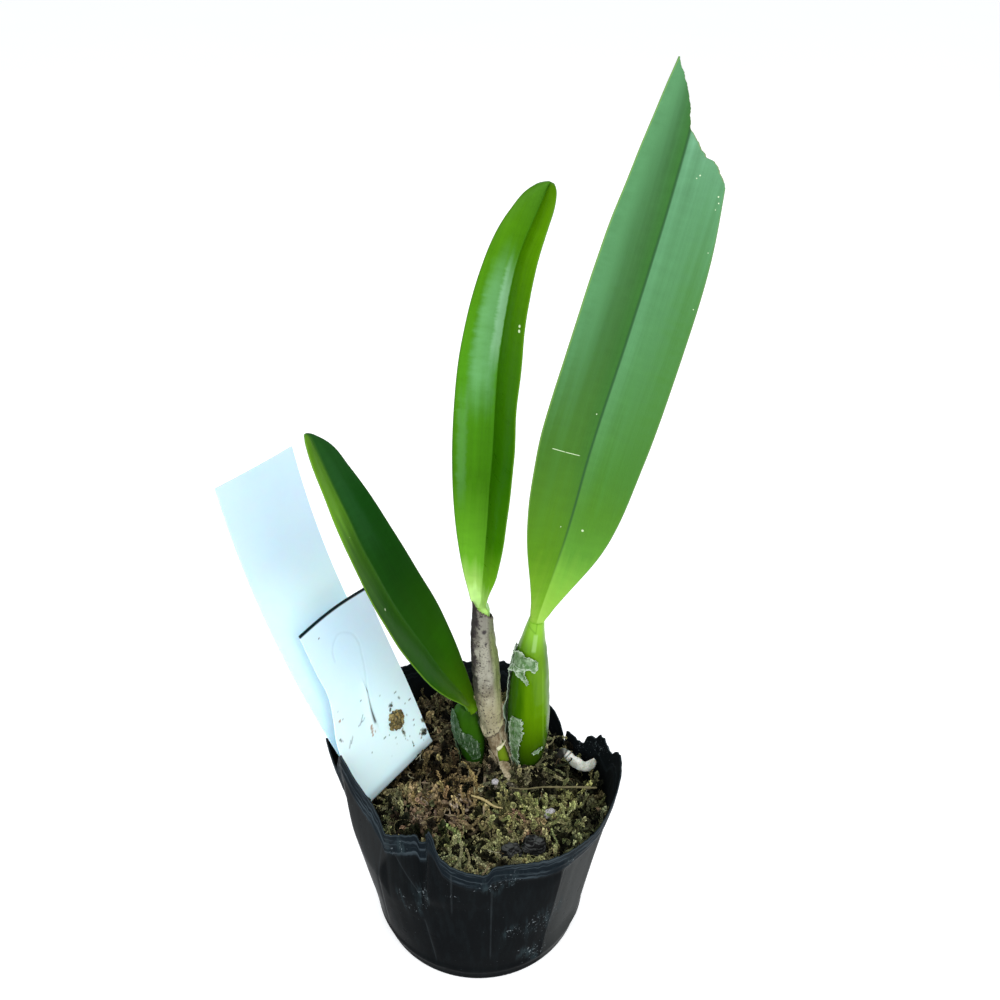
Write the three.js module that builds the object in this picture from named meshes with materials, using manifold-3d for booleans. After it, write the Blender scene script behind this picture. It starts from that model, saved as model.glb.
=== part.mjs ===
// A young cattleya orchid in a thin black film pot, with its folded plastic label.
// Millimetres, +Z up. The origin is the centre of the pot's underside, on the floor.
// The plant's front, where the upper sides of the leaves show, looks along -Y.
import * as THREE from 'three';
import { mergeVertices } from 'three/addons/utils/BufferGeometryUtils.js';
import Module from 'manifold-3d';

// ---------------------------------------------------------------- driving dimensions
const POT = {
  footRadius: 34.4, // the straight cone, carried down to the floor
  flare: 0.157, // radius gained for each mm of height
  wall: 0.8,
  floor: 1.0,
  heelRadius: 33.2, // where the side turns under
  heelHeight: 1.2,
  seamHeight: 6.5, // the welded seam above the floor
  bandDepth: 9, // the ridged band below the rim
  softDepth: 30, // how far below the rim the torn film begins to bend in or out
  softPower: 1.4, // how sharply it bends
  rowShares: [0, 0.35, 0.7], // facet rows between the seam and the band
  hubRadius: 16.6, // facet ring under the floor
  holeCount: 6,
  holeRadius: 3.5,
  holeCircle: 22,
  columns: 72, // facets round the film
  drillSides: 16,
};
// The torn rim: [angle in degrees from +X, height, how far the film stands out (+) or in (-)].
const RIM = [
  [-180, 73.1, 0.9], [-176, 71.4, 0.6], [-170, 72, -0.5], [-165, 79, -3], [-157, 78, -4.4],
  [-148, 77, -5.5], [-140, 76, -5.3], [-135, 73, -4.5], [-132, 67.5, -3.5], [-121, 69.5, -4.5],
  [-112, 71.5, -4], [-106, 80, -2], [-102, 73, 0], [-97, 68.5, 0], [-87, 65.4, 0],
  [-82, 69.6, 0], [-64, 66, 0], [-50, 63.3, 0], [-35, 60.5, 0.2], [-20, 61, 0.6],
  [-8, 63, 1.5], [0, 65, 1.3], [8, 61.5, 0.6], [20, 59, 0], [28, 52.5, -0.6],
  [37, 50, -1], [41, 42, -1], [48, 49, 0], [56, 56, 0], [66, 63, 0],
  [79, 68, 0], [95, 67.6, 0], [127, 72, 0], [155, 75, 0.5], [180, 73.1, 0.9],
];
const MOSS = {
  side: 0.6, // gap between the moss and the film
  columns: 36,
  foot: 1.3, // its underside, just above the pot's floor
  centre: 56,
  domePower: 3.5, // how far out the top stays level before it meets the edge height
  lump: 0.7,
  middle: 30, // height of the facet ring halfway up its side
  topShares: [0.84, 0.66, 0.46, 0.24], // facet rings across its top
};
// Where the moss meets the film: [angle, height].
const MOSS_EDGE = [
  [-180, 57], [-160, 57.6], [-140, 59.5], [-115, 62], [-90, 63], [-60, 61], [-35, 55], [-10, 49],
  [8, 44], [24, 39], [38, 37], [52, 41], [72, 50], [100, 55], [125, 57], [155, 56], [180, 57],
];
const GAP = 0.3; // what touching pieces keep between them
const LEAF = { midThickness: 1.9, edgeThickness: 0.9, groove: 1.1, alongSteps: 22, acrossSteps: 8 };
// Each leaf: knots of its midrib, half width [share of length, mm], the way its upper side
// faces, and the angle by which each half is folded up from flat.
const LEAVES = {
  leaf_left: {
    midrib: [[-3.1, 9, 80.3], [-15.4, 7, 102.5], [-27, 3, 130.2], [-36, -1, 160], [-42.6, -5, 185.7]],
    halfWidth: [[0, 1.8], [0.1, 7], [0.25, 11.6], [0.45, 12.9], [0.65, 11.4], [0.85, 8],
      [0.95, 4.9], [1, 1.2]],
    face: [0.88, -0.38, 0.28], fold: 26, colour: 0x23571a,
  },
  leaf_middle: {
    midrib: [[1.6, 8, 121.4], [3.7, 8, 148], [5.6, 8, 177], [7.5, 9, 203], [13, 11, 229.6],
      [19.5, 14, 244]],
    halfWidth: [[0, 1.6], [0.08, 5.1], [0.2, 9.3], [0.4, 11.8], [0.6, 11.5], [0.8, 9.4],
      [0.92, 6.3], [1, 1.4]],
    face: [-0.47, -0.87, 0.11], fold: 38, colour: 0x3f8a17,
  },
  leaf_right: {
    midrib: [[18.6, 8, 116], [26, 8, 147], [32, 9.3, 175], [40.2, 11.6, 206.5],
      [48.7, 15.5, 240.5], [55, 20, 268], [60, 24, 291]],
    halfWidth: [[0, 1.7], [0.06, 5.3], [0.17, 11.9], [0.33, 15.3], [0.49, 15.2], [0.65, 13.4],
      [0.79, 9.8], [0.93, 4.6], [1, 1]],
    face: [-0.01, -1, 0.1], fold: 18, colour: 0x3f7f4a,
  },
};
// The piece torn off the right leaf: its outline as [across x, up z], seen from the front.
const TEAR = [[63, 239], [60.8, 242.4], [59.8, 245.1], [58.1, 248.8], [55.8, 249.8], [53.3, 253.7],
  [52.1, 256], [52, 259], [50.8, 263.5], [47.8, 270.4], [40, 300], [90, 300], [90, 239]];
const TEAR_DEPTH = 80; // the tear goes right through the blade
const TEAR_REAR = 60;
// Each pseudobulb: knots of its axis and its radius at each of them.
const BULBS = {
  pseudobulb_left: {
    axis: [[-2.6, 10.5, 52.9], [-2.9, 10.4, 60], [-3.4, 10.2, 66], [-3.8, 9.8, 72],
      [-3.8, 9.4, 76.5], [-3.2, 9, 79.1]],
    radius: [3.4, 3.9, 4.3, 4, 3.4, 2], colour: 0x3b7d20,
  },
  pseudobulb_middle: {
    axis: [[6.4, 7.2, 53.1], [4.9, 7.6, 64], [3.4, 8, 80], [2.2, 8, 98], [1.6, 8, 112],
      [1.6, 8, 120.8]],
    radius: [2.5, 2.5, 3, 3.1, 2.6, 1.9], colour: 0x5f7a2c,
  },
  pseudobulb_right: {
    axis: [[16.3, 9, 52.9], [16.2, 9, 58], [16.1, 9, 64.5], [16.2, 9, 75.7], [16.4, 9, 86.4],
      [16.7, 9, 96], [17.3, 8.8, 103], [18, 8.4, 109], [18.6, 8, 115.1]],
    radius: [4.4, 5.7, 6.4, 6.9, 6.5, 5.8, 4.6, 3.3, 2.2], colour: 0x6f9e22,
  },
};
// Dry papery sheaths: the bulb each wraps, its start and end as shares of the bulb's length,
// and the arc it covers in degrees, from straight behind (+Y) by way of the left.
const SHEATHS = {
  sheath_left: { bulb: 'pseudobulb_left', from: 0.12, to: 0.86, arc: [40, 190], colour: 0xb9c4ae },
  sheath_middle: {
    bulb: 'pseudobulb_middle', from: 0.26, to: 0.97, arc: [0, 350], thick: 0.5, colour: 0xb9b3a2,
  },
  bract_middle: {
    bulb: 'pseudobulb_middle', from: 0.05, to: 0.235, arc: [0, 350], thick: 0.6, colour: 0xa08a64,
  },
  sheath_right: { bulb: 'pseudobulb_right', from: 0.14, to: 0.8, arc: [30, 205], colour: 0xc3cfc0 },
};
const SHEATH_THICKNESS = 0.35;
const SHEATH_STEPS = 6;
const SHEATH_TURN_STEPS = 10;
const SHEATH_SLACK = 0.1; // between the gap round the bulb and the sheath
const ROOT_RADIUS = 1.5;
const RHIZOME = {
  radius: 2.8, path: [[-8, 10.8, 49.6], [4, 9, 49.7], [16, 9.4, 49.7], [23, 10, 49.8]],
};
const ROOTS = {
  root_left: [[-6, 10.6, 46.3], [-6.2, 10.4, 44], [-14, 4, 37], [-24, -6, 26], [-26, -14, 11]],
  root_front: [[1, 9.4, 46.3], [1, 9, 44], [-2, -4, 37], [-6, -18, 25], [-4, -26, 9]],
  root_front_right: [[9, 9.2, 46.4], [9, 8.8, 44], [11, -6, 37], [18, -18, 26], [20, -22, 9]],
  root_right: [[19, 9.7, 46.4], [19.3, 9.5, 44], [25, 6, 36], [28, 4, 22], [25, 4, 8]],
  root_rear: [[13.5, 9.3, 46.4], [13.3, 9.8, 44], [8, 20, 37], [0, 28, 24], [-6, 27, 9]],
  root_white: [[24.6, 10.8, 50.1], [26.2, 12.9, 51.2], [28.5, 14.9, 52.6], [32.4, 12.2, 50.8],
    [35.7, 10.3, 50.4], [38, 9.9, 52.6], [38.7, 9.7, 55.3]],
};
const LABEL = {
  width: 31.4, thickness: 0.5, foldRadius: 0.9,
  corner: [-34.4, -10.3, 58.4], // the fold's front end
  turn: 55.6, // the fold's direction over the floor, degrees from +X
  rear: { length: 111, lean: -43.3, straighten: 0.287, skew: 0.007 },
  flap: { length: 57, lean: -30.5, straighten: 0, skew: 0.084 },
};
const CRUMB = { across: 21, up: 15.8, half: [1.2, 2.3, 3] }; // soil stuck on the label's flap
const CHIPS = {
  charcoal_left: { at: [9.6, -31, 59.6], half: [3.8, 2.6, 3], turn: 15 },
  charcoal_right: { at: [18.6, -29.6, 59], half: [3.6, 2.8, 3.6], turn: -12 },
};
const GRAIN = { at: [22.4, -13.9], radius: 1.8 };
const TWIG = { radius: 0.55, from: [10.5, -6.6], to: [38, -2.6] };
const STRAW = { radius: 0.6, from: [-2, -9.8], to: [8.2, -15.2] };

// ---------------------------------------------------------------- curves through knots
const radians = THREE.MathUtils.degToRad;

// A smooth curve through knots: cubic pieces whose slopes are central differences.
function smooth(x, xs, ys) {
  const last = xs.length - 1;
  let i = 0;
  while (i < last - 1 && x > xs[i + 1]) i += 1;
  const chord = (k) => (ys[k + 1] - ys[k]) / (xs[k + 1] - xs[k]);
  const slope = (k) => {
    if (k === 0) return chord(0);
    if (k === last) return chord(last - 1);
    const before = xs[k] - xs[k - 1];
    const after = xs[k + 1] - xs[k];
    return (chord(k - 1) * after + chord(k) * before) / (before + after);
  };
  const step = xs[i + 1] - xs[i];
  const t = (x - xs[i]) / step;
  const t2 = t * t;
  const t3 = t2 * t;
  return (2 * t3 - 3 * t2 + 1) * ys[i] + (t3 - 2 * t2 + t) * step * slope(i)
    + (3 * t2 - 2 * t3) * ys[i + 1] + (t3 - t2) * step * slope(i + 1);
}

// Straight lines between knots given as rows of [x, y, ...]; column says which y.
function straight(x, rows, column = 1) {
  let i = 0;
  while (i < rows.length - 2 && x > rows[i + 1][0]) i += 1;
  const share = (x - rows[i][0]) / (rows[i + 1][0] - rows[i][0]);
  return THREE.MathUtils.lerp(rows[i][column], rows[i + 1][column], share);
}

// A space curve through points, measured 0 to 1 by chord length.
function spaceCurve(points) {
  const along = [0];
  for (let i = 1; i < points.length; i += 1) {
    const a = new THREE.Vector3(...points[i - 1]);
    const b = new THREE.Vector3(...points[i]);
    along.push(along[i - 1] + a.distanceTo(b));
  }
  const length = along[along.length - 1];
  const shares = along.map((value) => value / length);
  const at = (s) => new THREE.Vector3(
    ...[0, 1, 2].map((axis) => smooth(s, shares, points.map((p) => p[axis]))),
  );
  const tangent = (s) => {
    const step = 0.002;
    const ahead = at(Math.min(1, s + step));
    return ahead.sub(at(Math.max(0, s - step))).normalize();
  };
  return { at, tangent, shares, length };
}

// ---------------------------------------------------------------- closed meshes from grids
function geometryOf(vertices, triangles) {
  const geometry = new THREE.BufferGeometry();
  const flat = vertices.flatMap((v) => [v.x, v.y, v.z]);
  geometry.setAttribute('position', new THREE.Float32BufferAttribute(flat, 3));
  geometry.setIndex(triangles.flat());
  return geometry;
}

// A closed skin over rings of equal count, fanned shut at both ends. Seen along the way the
// rings follow, the points of a ring run anticlockwise.
function loft(rings) {
  const count = rings[0].length;
  const vertices = rings.flat();
  const triangles = [];
  for (let r = 0; r < rings.length - 1; r += 1) {
    for (let c = 0; c < count; c += 1) {
      const next = (c + 1) % count;
      const a = r * count + c;
      const b = r * count + next;
      triangles.push([a, b, b + count], [a, b + count, a + count]);
    }
  }
  const cap = (ring, offset, flip) => {
    const centre = new THREE.Vector3();
    ring.forEach((point) => centre.add(point));
    centre.divideScalar(count);
    vertices.push(centre);
    const hub = vertices.length - 1;
    for (let c = 0; c < count; c += 1) {
      const next = (c + 1) % count;
      triangles.push(flip ? [hub, offset + next, offset + c] : [hub, offset + c, offset + next]);
    }
  };
  cap(rings[0], 0, true);
  cap(rings[rings.length - 1], (rings.length - 1) * count, false);
  return geometryOf(vertices, triangles);
}

// A closed slab between two grids of equal size, front[i][j] and back[i][j]. Looking at the
// front, i runs up and j runs right.
function slab(front, back) {
  const rows = front.length;
  const columns = front[0].length;
  const vertices = [...front.flat(), ...back.flat()];
  const shift = rows * columns;
  const f = (i, j) => i * columns + j;
  const b = (i, j) => shift + i * columns + j;
  const triangles = [];
  const quad = (p, q, r, s) => triangles.push([p, q, r], [p, r, s]);
  for (let i = 0; i < rows - 1; i += 1) {
    for (let j = 0; j < columns - 1; j += 1) {
      quad(f(i, j), f(i, j + 1), f(i + 1, j + 1), f(i + 1, j));
      quad(b(i, j), b(i + 1, j), b(i + 1, j + 1), b(i, j + 1));
    }
  }
  for (let j = 0; j < columns - 1; j += 1) {
    quad(b(0, j), b(0, j + 1), f(0, j + 1), f(0, j));
    quad(f(rows - 1, j), f(rows - 1, j + 1), b(rows - 1, j + 1), b(rows - 1, j));
  }
  for (let i = 0; i < rows - 1; i += 1) {
    quad(f(i, columns - 1), b(i, columns - 1), b(i + 1, columns - 1), f(i + 1, columns - 1));
    quad(b(i, 0), f(i, 0), f(i + 1, 0), b(i + 1, 0));
  }
  return geometryOf(vertices, triangles);
}

// A round tube of even radius along a path of points.
function tube(points, radius, steps = 12, sides = 8) {
  const path = new THREE.CatmullRomCurve3(points.map((p) => new THREE.Vector3(...p)));
  const section = new THREE.Shape();
  for (let k = 0; k < sides; k += 1) {
    const angle = (2 * Math.PI * k) / sides;
    const move = k === 0 ? 'moveTo' : 'lineTo';
    section[move](radius * Math.cos(angle), radius * Math.sin(angle));
  }
  section.closePath();
  return new THREE.ExtrudeGeometry(section, { steps, bevelEnabled: false, extrudePath: path });
}

// The room that a tube takes up in the moss: the same tube grown by the gap, and a short
// straight piece past each end.
function tubeRooms(points, radius, steps = 12) {
  const curve = new THREE.CatmullRomCurve3(points.map((p) => new THREE.Vector3(...p)));
  const past = 3 * GAP;
  const ends = [[0, -1], [1, 1]].map(([share, way]) => {
    const spot = curve.getPointAt(share);
    const onward = curve.getTangentAt(share).multiplyScalar(way);
    const line = [-GAP, past].map((reach) => spot.clone().addScaledVector(onward, reach).toArray());
    return tube(line, radius + GAP, 1);
  });
  return [tube(points, radius + GAP, steps), ...ends];
}

// ---------------------------------------------------------------- cuts and joins
const wasm = await Module();
wasm.setup();

function solidOf(geometry) {
  const bare = geometry.clone();
  bare.deleteAttribute('normal');
  bare.deleteAttribute('uv');
  const merged = mergeVertices(bare, 1e-4);
  return new wasm.Manifold(new wasm.Mesh({
    numProp: 3,
    vertProperties: new Float32Array(merged.attributes.position.array),
    triVerts: new Uint32Array(merged.index.array),
  }));
}

function geometryFrom(solid) {
  const mesh = solid.getMesh();
  const geometry = new THREE.BufferGeometry();
  geometry.setAttribute('position', new THREE.BufferAttribute(mesh.vertProperties, 3));
  geometry.setIndex(new THREE.BufferAttribute(mesh.triVerts, 1));
  return geometry;
}

const cut = (body, tools) => geometryFrom(
  tools.reduce((rest, tool) => rest.subtract(solidOf(tool)), solidOf(body)),
);

// ---------------------------------------------------------------- the film pot
const rimHeight = (angle) => straight(angle, RIM, 1);
const rimLean = (angle) => straight(angle, RIM, 2);

// The film's outer radius at an angle and height: the cone, plus the lean of the torn rim.
function filmRadius(angle, z) {
  const rise = THREE.MathUtils.clamp(1 - (rimHeight(angle) - z) / POT.softDepth, 0, 1);
  return POT.footRadius + POT.flare * z + rimLean(angle) * rise ** POT.softPower;
}

const anglesOf = (count) => Array.from({ length: count }, (_, k) => -180 + (360 * k) / count);
const polar = (angle, radius, z) => new THREE.Vector3(
  radius * Math.cos(radians(angle)), radius * Math.sin(radians(angle)), z,
);
const hoop = (radiusAt, heightAt, columns = POT.columns) => (
  anglesOf(columns).map((a) => polar(a, radiusAt(a), heightAt(a)))
);

// Heights of the film's rows at an angle, from the seam to the rim.
function filmRows(angle) {
  const top = rimHeight(angle);
  const band = top - POT.bandDepth;
  const from = POT.seamHeight;
  return [...POT.rowShares.map((share) => THREE.MathUtils.lerp(from, band, share)), band, top];
}

function filmPot() {
  const rows = filmRows(0).length;
  const inside = (angle, z) => filmRadius(angle, z) - POT.wall;
  const rings = [
    hoop(() => POT.hubRadius, () => 0),
    hoop(() => POT.heelRadius, () => 0),
    hoop((a) => filmRadius(a, POT.heelHeight), () => POT.heelHeight),
  ];
  for (let row = 0; row < rows; row += 1) {
    rings.push(hoop((a) => filmRadius(a, filmRows(a)[row]), (a) => filmRows(a)[row]));
  }
  for (let row = rows - 1; row >= 0; row -= 1) {
    rings.push(hoop((a) => inside(a, filmRows(a)[row]), (a) => filmRows(a)[row]));
  }
  rings.push(hoop((a) => inside(a, POT.floor), () => POT.floor));
  rings.push(hoop(() => POT.hubRadius, () => POT.floor));
  const holes = Array.from({ length: POT.holeCount }, (_, k) => {
    const size = POT.holeRadius;
    const drill = new THREE.CylinderGeometry(size, size, 4 * POT.floor, POT.drillSides);
    drill.rotateX(Math.PI / 2);
    const spot = polar((360 * k) / POT.holeCount, POT.holeCircle, 0);
    return drill.translate(spot.x, spot.y, 0);
  });
  return cut(loft(rings), holes);
}

// ---------------------------------------------------------------- the moss
const turnOf = (x, y) => THREE.MathUtils.radToDeg(Math.atan2(y, x));

function mossHeight(x, y) {
  const angle = turnOf(x, y);
  const edge = straight(angle, MOSS_EDGE);
  const reach = Math.hypot(x, y) / (POT.footRadius + POT.flare * edge);
  const lumps = Math.sin(0.33 * x + 1) * Math.sin(0.29 * y + 2) + 0.5 * Math.sin(0.7 * x - 0.5 * y);
  return MOSS.centre + (edge - MOSS.centre) * reach ** MOSS.domePower
    + MOSS.lump * lumps * (1 - reach ** 4);
}

function mossBed(rooms) {
  const inside = (a, z) => filmRadius(a, z) - POT.wall - MOSS.side;
  const edge = (a) => straight(a, MOSS_EDGE);
  const ring = (radiusAt, heightAt) => hoop(radiusAt, heightAt, MOSS.columns);
  const rings = [
    ring((a) => inside(a, MOSS.foot), () => MOSS.foot),
    ring((a) => inside(a, POT.seamHeight), () => POT.seamHeight),
    ring((a) => inside(a, MOSS.middle), () => MOSS.middle),
    ring((a) => inside(a, edge(a)), edge),
  ];
  for (const share of MOSS.topShares) {
    rings.push(anglesOf(MOSS.columns).map((a) => {
      const point = polar(a, inside(a, edge(a)) * share, 0);
      return point.setZ(mossHeight(point.x, point.y));
    }));
  }
  return cut(loft(rings), rooms);
}

// ---------------------------------------------------------------- leaves
// A point on a leaf: s from base to tip, w from -1 (left margin) to 1 (right margin).
// The section is a V with a rounded groove at the midrib.
function leafFrame(leaf) {
  const curve = spaceCurve(leaf.midrib);
  const shares = leaf.halfWidth.map((row) => row[0]);
  const widths = leaf.halfWidth.map((row) => row[1]);
  const fold = radians(leaf.fold);
  return (s, w) => {
    const tangent = curve.tangent(s);
    const face = new THREE.Vector3(...leaf.face);
    const up = face.sub(tangent.clone().multiplyScalar(face.dot(tangent))).normalize();
    const side = tangent.clone().cross(up);
    const half = smooth(s, shares, widths);
    const lift = Math.hypot(w * half, LEAF.groove) - LEAF.groove;
    const slope = (Math.sin(fold) * w * half) / Math.hypot(w * half, LEAF.groove);
    const point = curve.at(s).addScaledVector(side, w * half * Math.cos(fold));
    point.addScaledVector(up, lift * Math.sin(fold));
    const normal = up.clone().multiplyScalar(Math.cos(fold)).addScaledVector(side, -slope).normalize();
    return { point, normal };
  };
}

function leafBlade(leaf) {
  const at = leafFrame(leaf);
  const front = [];
  const back = [];
  for (let i = 0; i <= LEAF.alongSteps; i += 1) {
    const s = i / LEAF.alongSteps;
    const frontRow = [];
    const backRow = [];
    for (let j = 0; j <= LEAF.acrossSteps; j += 1) {
      const w = -1 + (2 * j) / LEAF.acrossSteps;
      const { point, normal } = at(s, w);
      const thick = THREE.MathUtils.lerp(LEAF.midThickness, LEAF.edgeThickness, Math.abs(w));
      frontRow.push(point.clone().addScaledVector(normal, thick / 2));
      backRow.push(point.clone().addScaledVector(normal, -thick / 2));
    }
    front.push(frontRow);
    back.push(backRow);
  }
  return slab(front, back);
}

// The block that takes the torn corner off the right leaf, right through along Y.
function tearBlock() {
  const outline = new THREE.Shape(TEAR.map(([x, z]) => new THREE.Vector2(x, z)));
  const block = new THREE.ExtrudeGeometry(outline, { depth: TEAR_DEPTH, bevelEnabled: false });
  return block.rotateX(Math.PI / 2).translate(0, TEAR_REAR, 0);
}

// ---------------------------------------------------------------- pseudobulbs and sheaths
const BULB_SIDES = 14;
const BULB_STEPS = 12;

// The frame of a bulb at a share of its length: its centre, radius and two level directions.
function bulbFrame(bulb) {
  const curve = spaceCurve(bulb.axis);
  return (s) => {
    const tangent = curve.tangent(s);
    const rear = new THREE.Vector3(0, 1, 0);
    rear.sub(tangent.clone().multiplyScalar(rear.dot(tangent))).normalize();
    const left = tangent.clone().cross(rear);
    return { centre: curve.at(s), radius: smooth(s, curve.shares, bulb.radius), rear, left };
  };
}

// A ring round a bulb, starting behind it (+Y) and turning by way of the left (-X).
function bulbRing({ centre, rear, left }, radius, turns) {
  return turns.map((turn) => centre.clone()
    .addScaledVector(rear, radius * Math.cos(turn))
    .addScaledVector(left, radius * Math.sin(turn)));
}

function bulbBody(bulb, grow = 0) {
  const at = bulbFrame(bulb);
  const turns = Array.from({ length: BULB_SIDES }, (_, k) => (2 * Math.PI * k) / BULB_SIDES);
  const rings = [];
  for (let i = 0; i <= BULB_STEPS; i += 1) {
    const frame = at(i / BULB_STEPS);
    rings.push(bulbRing(frame, frame.radius + grow, turns));
  }
  if (grow > 0) {
    const down = new THREE.Vector3(0, 0, -2 * grow);
    rings.unshift(rings[0].map((point) => point.clone().add(down)));
  }
  return loft(rings);
}

function sheathWrap(sheath, grow = 0) {
  const bulb = BULBS[sheath.bulb];
  const at = bulbFrame(bulb);
  const past = (2 * grow) / spaceCurve(bulb.axis).length;
  const thick = sheath.thick ?? SHEATH_THICKNESS;
  const front = [];
  const back = [];
  const turns = Array.from({ length: SHEATH_TURN_STEPS + 1 }, (_, k) => radians(
    THREE.MathUtils.lerp(sheath.arc[0], sheath.arc[1], k / SHEATH_TURN_STEPS),
  ));
  for (let i = 0; i <= SHEATH_STEPS; i += 1) {
    const frame = at(THREE.MathUtils.lerp(sheath.from - past, sheath.to, i / SHEATH_STEPS));
    const inner = frame.radius + GAP + SHEATH_SLACK;
    front.push(bulbRing(frame, inner + thick + grow, turns));
    back.push(bulbRing(frame, Math.max(inner - grow, 0.5), turns));
  }
  return slab(front, back);
}

// ---------------------------------------------------------------- the folded label
// One layer's centre line in the upright plane across the fold: [out, up] at a length s.
function layerLine(layer, s) {
  const steps = 40;
  let out = 0;
  let up = 0;
  for (let k = 0; k < steps; k += 1) {
    const lean = radians(layer.lean + layer.straighten * ((k + 0.5) / steps) * s);
    out += (Math.sin(lean) * s) / steps;
    up += (Math.cos(lean) * s) / steps;
  }
  return { out, up, lean: radians(layer.lean + layer.straighten * s) };
}

// Stations along the strip, from the rear layer's top, round the fold, to the flap's top:
// the centre line, the outward normal of the strip, and the sideways slip.
function labelStations() {
  const { rear, flap, foldRadius } = LABEL;
  const stations = [];
  const rearSteps = 12;
  const flapSteps = 5;
  const foldSteps = 6;
  const add = (out, up, normal, slip) => stations.push({ out, up, normal, slip });
  const rearNormal = (lean) => [-Math.cos(lean), Math.sin(lean)];
  for (let k = rearSteps; k > 0; k -= 1) {
    const s = (rear.length * k) / rearSteps;
    const { out, up, lean } = layerLine(rear, s);
    const foot = rearNormal(radians(rear.lean));
    add(out + foldRadius * foot[0], up + foldRadius * foot[1], rearNormal(lean), rear.skew * s);
  }
  const start = Math.PI - radians(rear.lean);
  const stop = 2 * Math.PI - radians(flap.lean);
  for (let k = 0; k <= foldSteps; k += 1) {
    const angle = THREE.MathUtils.lerp(start, stop, k / foldSteps);
    const normal = [Math.cos(angle), Math.sin(angle)];
    add(foldRadius * normal[0], foldRadius * normal[1], normal, 0);
  }
  for (let k = 1; k <= flapSteps; k += 1) {
    const s = (flap.length * k) / flapSteps;
    const { out, up, lean } = layerLine(flap, s);
    const normal = [Math.cos(lean), -Math.sin(lean)];
    const foot = [Math.cos(radians(flap.lean)), -Math.sin(radians(flap.lean))];
    add(out + foldRadius * foot[0], up + foldRadius * foot[1], normal, flap.skew * s);
  }
  return stations;
}

const labelAcross = polar(LABEL.turn, 1, 0);
const labelOut = polar(LABEL.turn - 90, 1, 0);

// A point of the label from its upright-plane coordinates and its place across the width.
function labelPoint(out, up, across) {
  return new THREE.Vector3(...LABEL.corner).addScaledVector(labelOut, out)
    .add(new THREE.Vector3(0, 0, up)).addScaledVector(labelAcross, across);
}

function labelStrip(grow = 0) {
  const half = LABEL.thickness / 2 + grow;
  const edges = [-grow, LABEL.width * 0.5, LABEL.width + grow];
  const layer = (side) => labelStations().map(({ out, up, normal, slip }) => edges.map((across) => (
    labelPoint(out + side * half * normal[0], up + side * half * normal[1], across + slip)
  )));
  return slab(layer(1), layer(-1));
}

// ---------------------------------------------------------------- small things in the moss
// A rough lump: a ball of flat facets, drawn out to three half sizes.
function lump(half, detail = 1) {
  const ball = new THREE.IcosahedronGeometry(1, detail);
  ball.deleteAttribute('normal');
  ball.deleteAttribute('uv');
  const merged = mergeVertices(ball, 1e-4);
  const place = merged.attributes.position;
  for (let k = 0; k < place.count; k += 1) {
    const x = place.getX(k);
    const y = place.getY(k);
    const z = place.getZ(k);
    const rough = 1 + 0.12 * Math.sin(5 * x + 3 * y) * Math.cos(4 * z - 2 * x);
    place.setXYZ(k, x * half[0] * rough, y * half[1] * rough, z * half[2] * rough);
  }
  return merged;
}

function chipBody(chip, grow = 0) {
  const half = chip.half.map((value) => value + grow);
  return lump(half).rotateZ(radians(chip.turn)).translate(...chip.at);
}

function grainBody(grow = 0) {
  const [x, y] = GRAIN.at;
  const size = GRAIN.radius + grow;
  return lump([size, size * 0.8, size * 0.7]).translate(x, y, mossHeight(x, y) + 0.4);
}

// Four points laid on the moss from one spot to another, for a twig or a straw.
function laidOnMoss({ radius, from, to }) {
  return [0, 0.35, 0.7, 1].map((share) => {
    const x = THREE.MathUtils.lerp(from[0], to[0], share);
    const y = THREE.MathUtils.lerp(from[1], to[1], share);
    return [x, y, mossHeight(x, y) + 0.6 * radius];
  });
}

function crumbBody() {
  const { out, up, lean } = layerLine(LABEL.flap, CRUMB.up);
  const lift = LABEL.foldRadius + LABEL.thickness / 2 + GAP + CRUMB.half[0];
  const spot = labelPoint(
    out + lift * Math.cos(lean), up - lift * Math.sin(lean),
    CRUMB.across + LABEL.flap.skew * CRUMB.up,
  );
  const body = lump(CRUMB.half).rotateY(lean);
  return body.rotateZ(radians(LABEL.turn - 90)).translate(spot.x, spot.y, spot.z);
}

// ---------------------------------------------------------------- the whole
const orchid = new THREE.Group();

function addPiece(name, geometry, colour, roughness) {
  const material = new THREE.MeshStandardMaterial({ color: colour, roughness, metalness: 0 });
  const mesh = new THREE.Mesh(geometry, material);
  mesh.name = name;
  orchid.add(mesh);
}

const rooms = []; // what the moss makes room for

addPiece('film_pot', filmPot(), 0x24282c, 0.45);
for (const [name, bulb] of Object.entries(BULBS)) {
  addPiece(name, bulbBody(bulb), bulb.colour, 0.4);
  rooms.push(bulbBody(bulb, GAP));
}
for (const [name, sheath] of Object.entries(SHEATHS)) {
  addPiece(name, sheathWrap(sheath), sheath.colour, 0.8);
  rooms.push(sheathWrap(sheath, GAP));
}
for (const [name, leaf] of Object.entries(LEAVES)) {
  const blade = leafBlade(leaf);
  const geometry = name === 'leaf_right' ? cut(blade, [tearBlock()]) : blade;
  addPiece(name, geometry, leaf.colour, 0.35);
}
addPiece('rhizome', tube(RHIZOME.path, RHIZOME.radius), 0x6b5a3a, 0.8);
rooms.push(...tubeRooms(RHIZOME.path, RHIZOME.radius));
for (const [name, path] of Object.entries(ROOTS)) {
  addPiece(name, tube(path, ROOT_RADIUS), 0xd9d6c4, 0.7);
  rooms.push(...tubeRooms(path, ROOT_RADIUS));
}
addPiece('plant_label', labelStrip(), 0xdfeef6, 0.3);
rooms.push(labelStrip(GAP));
addPiece('label_crumb', crumbBody(), 0x5b4b30, 0.9);
for (const [name, chip] of Object.entries(CHIPS)) {
  addPiece(name, chipBody(chip), 0x1f1d1c, 0.9);
  rooms.push(chipBody(chip, GAP));
}
addPiece('perlite_grain', grainBody(), 0xcfc6cc, 0.9);
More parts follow.
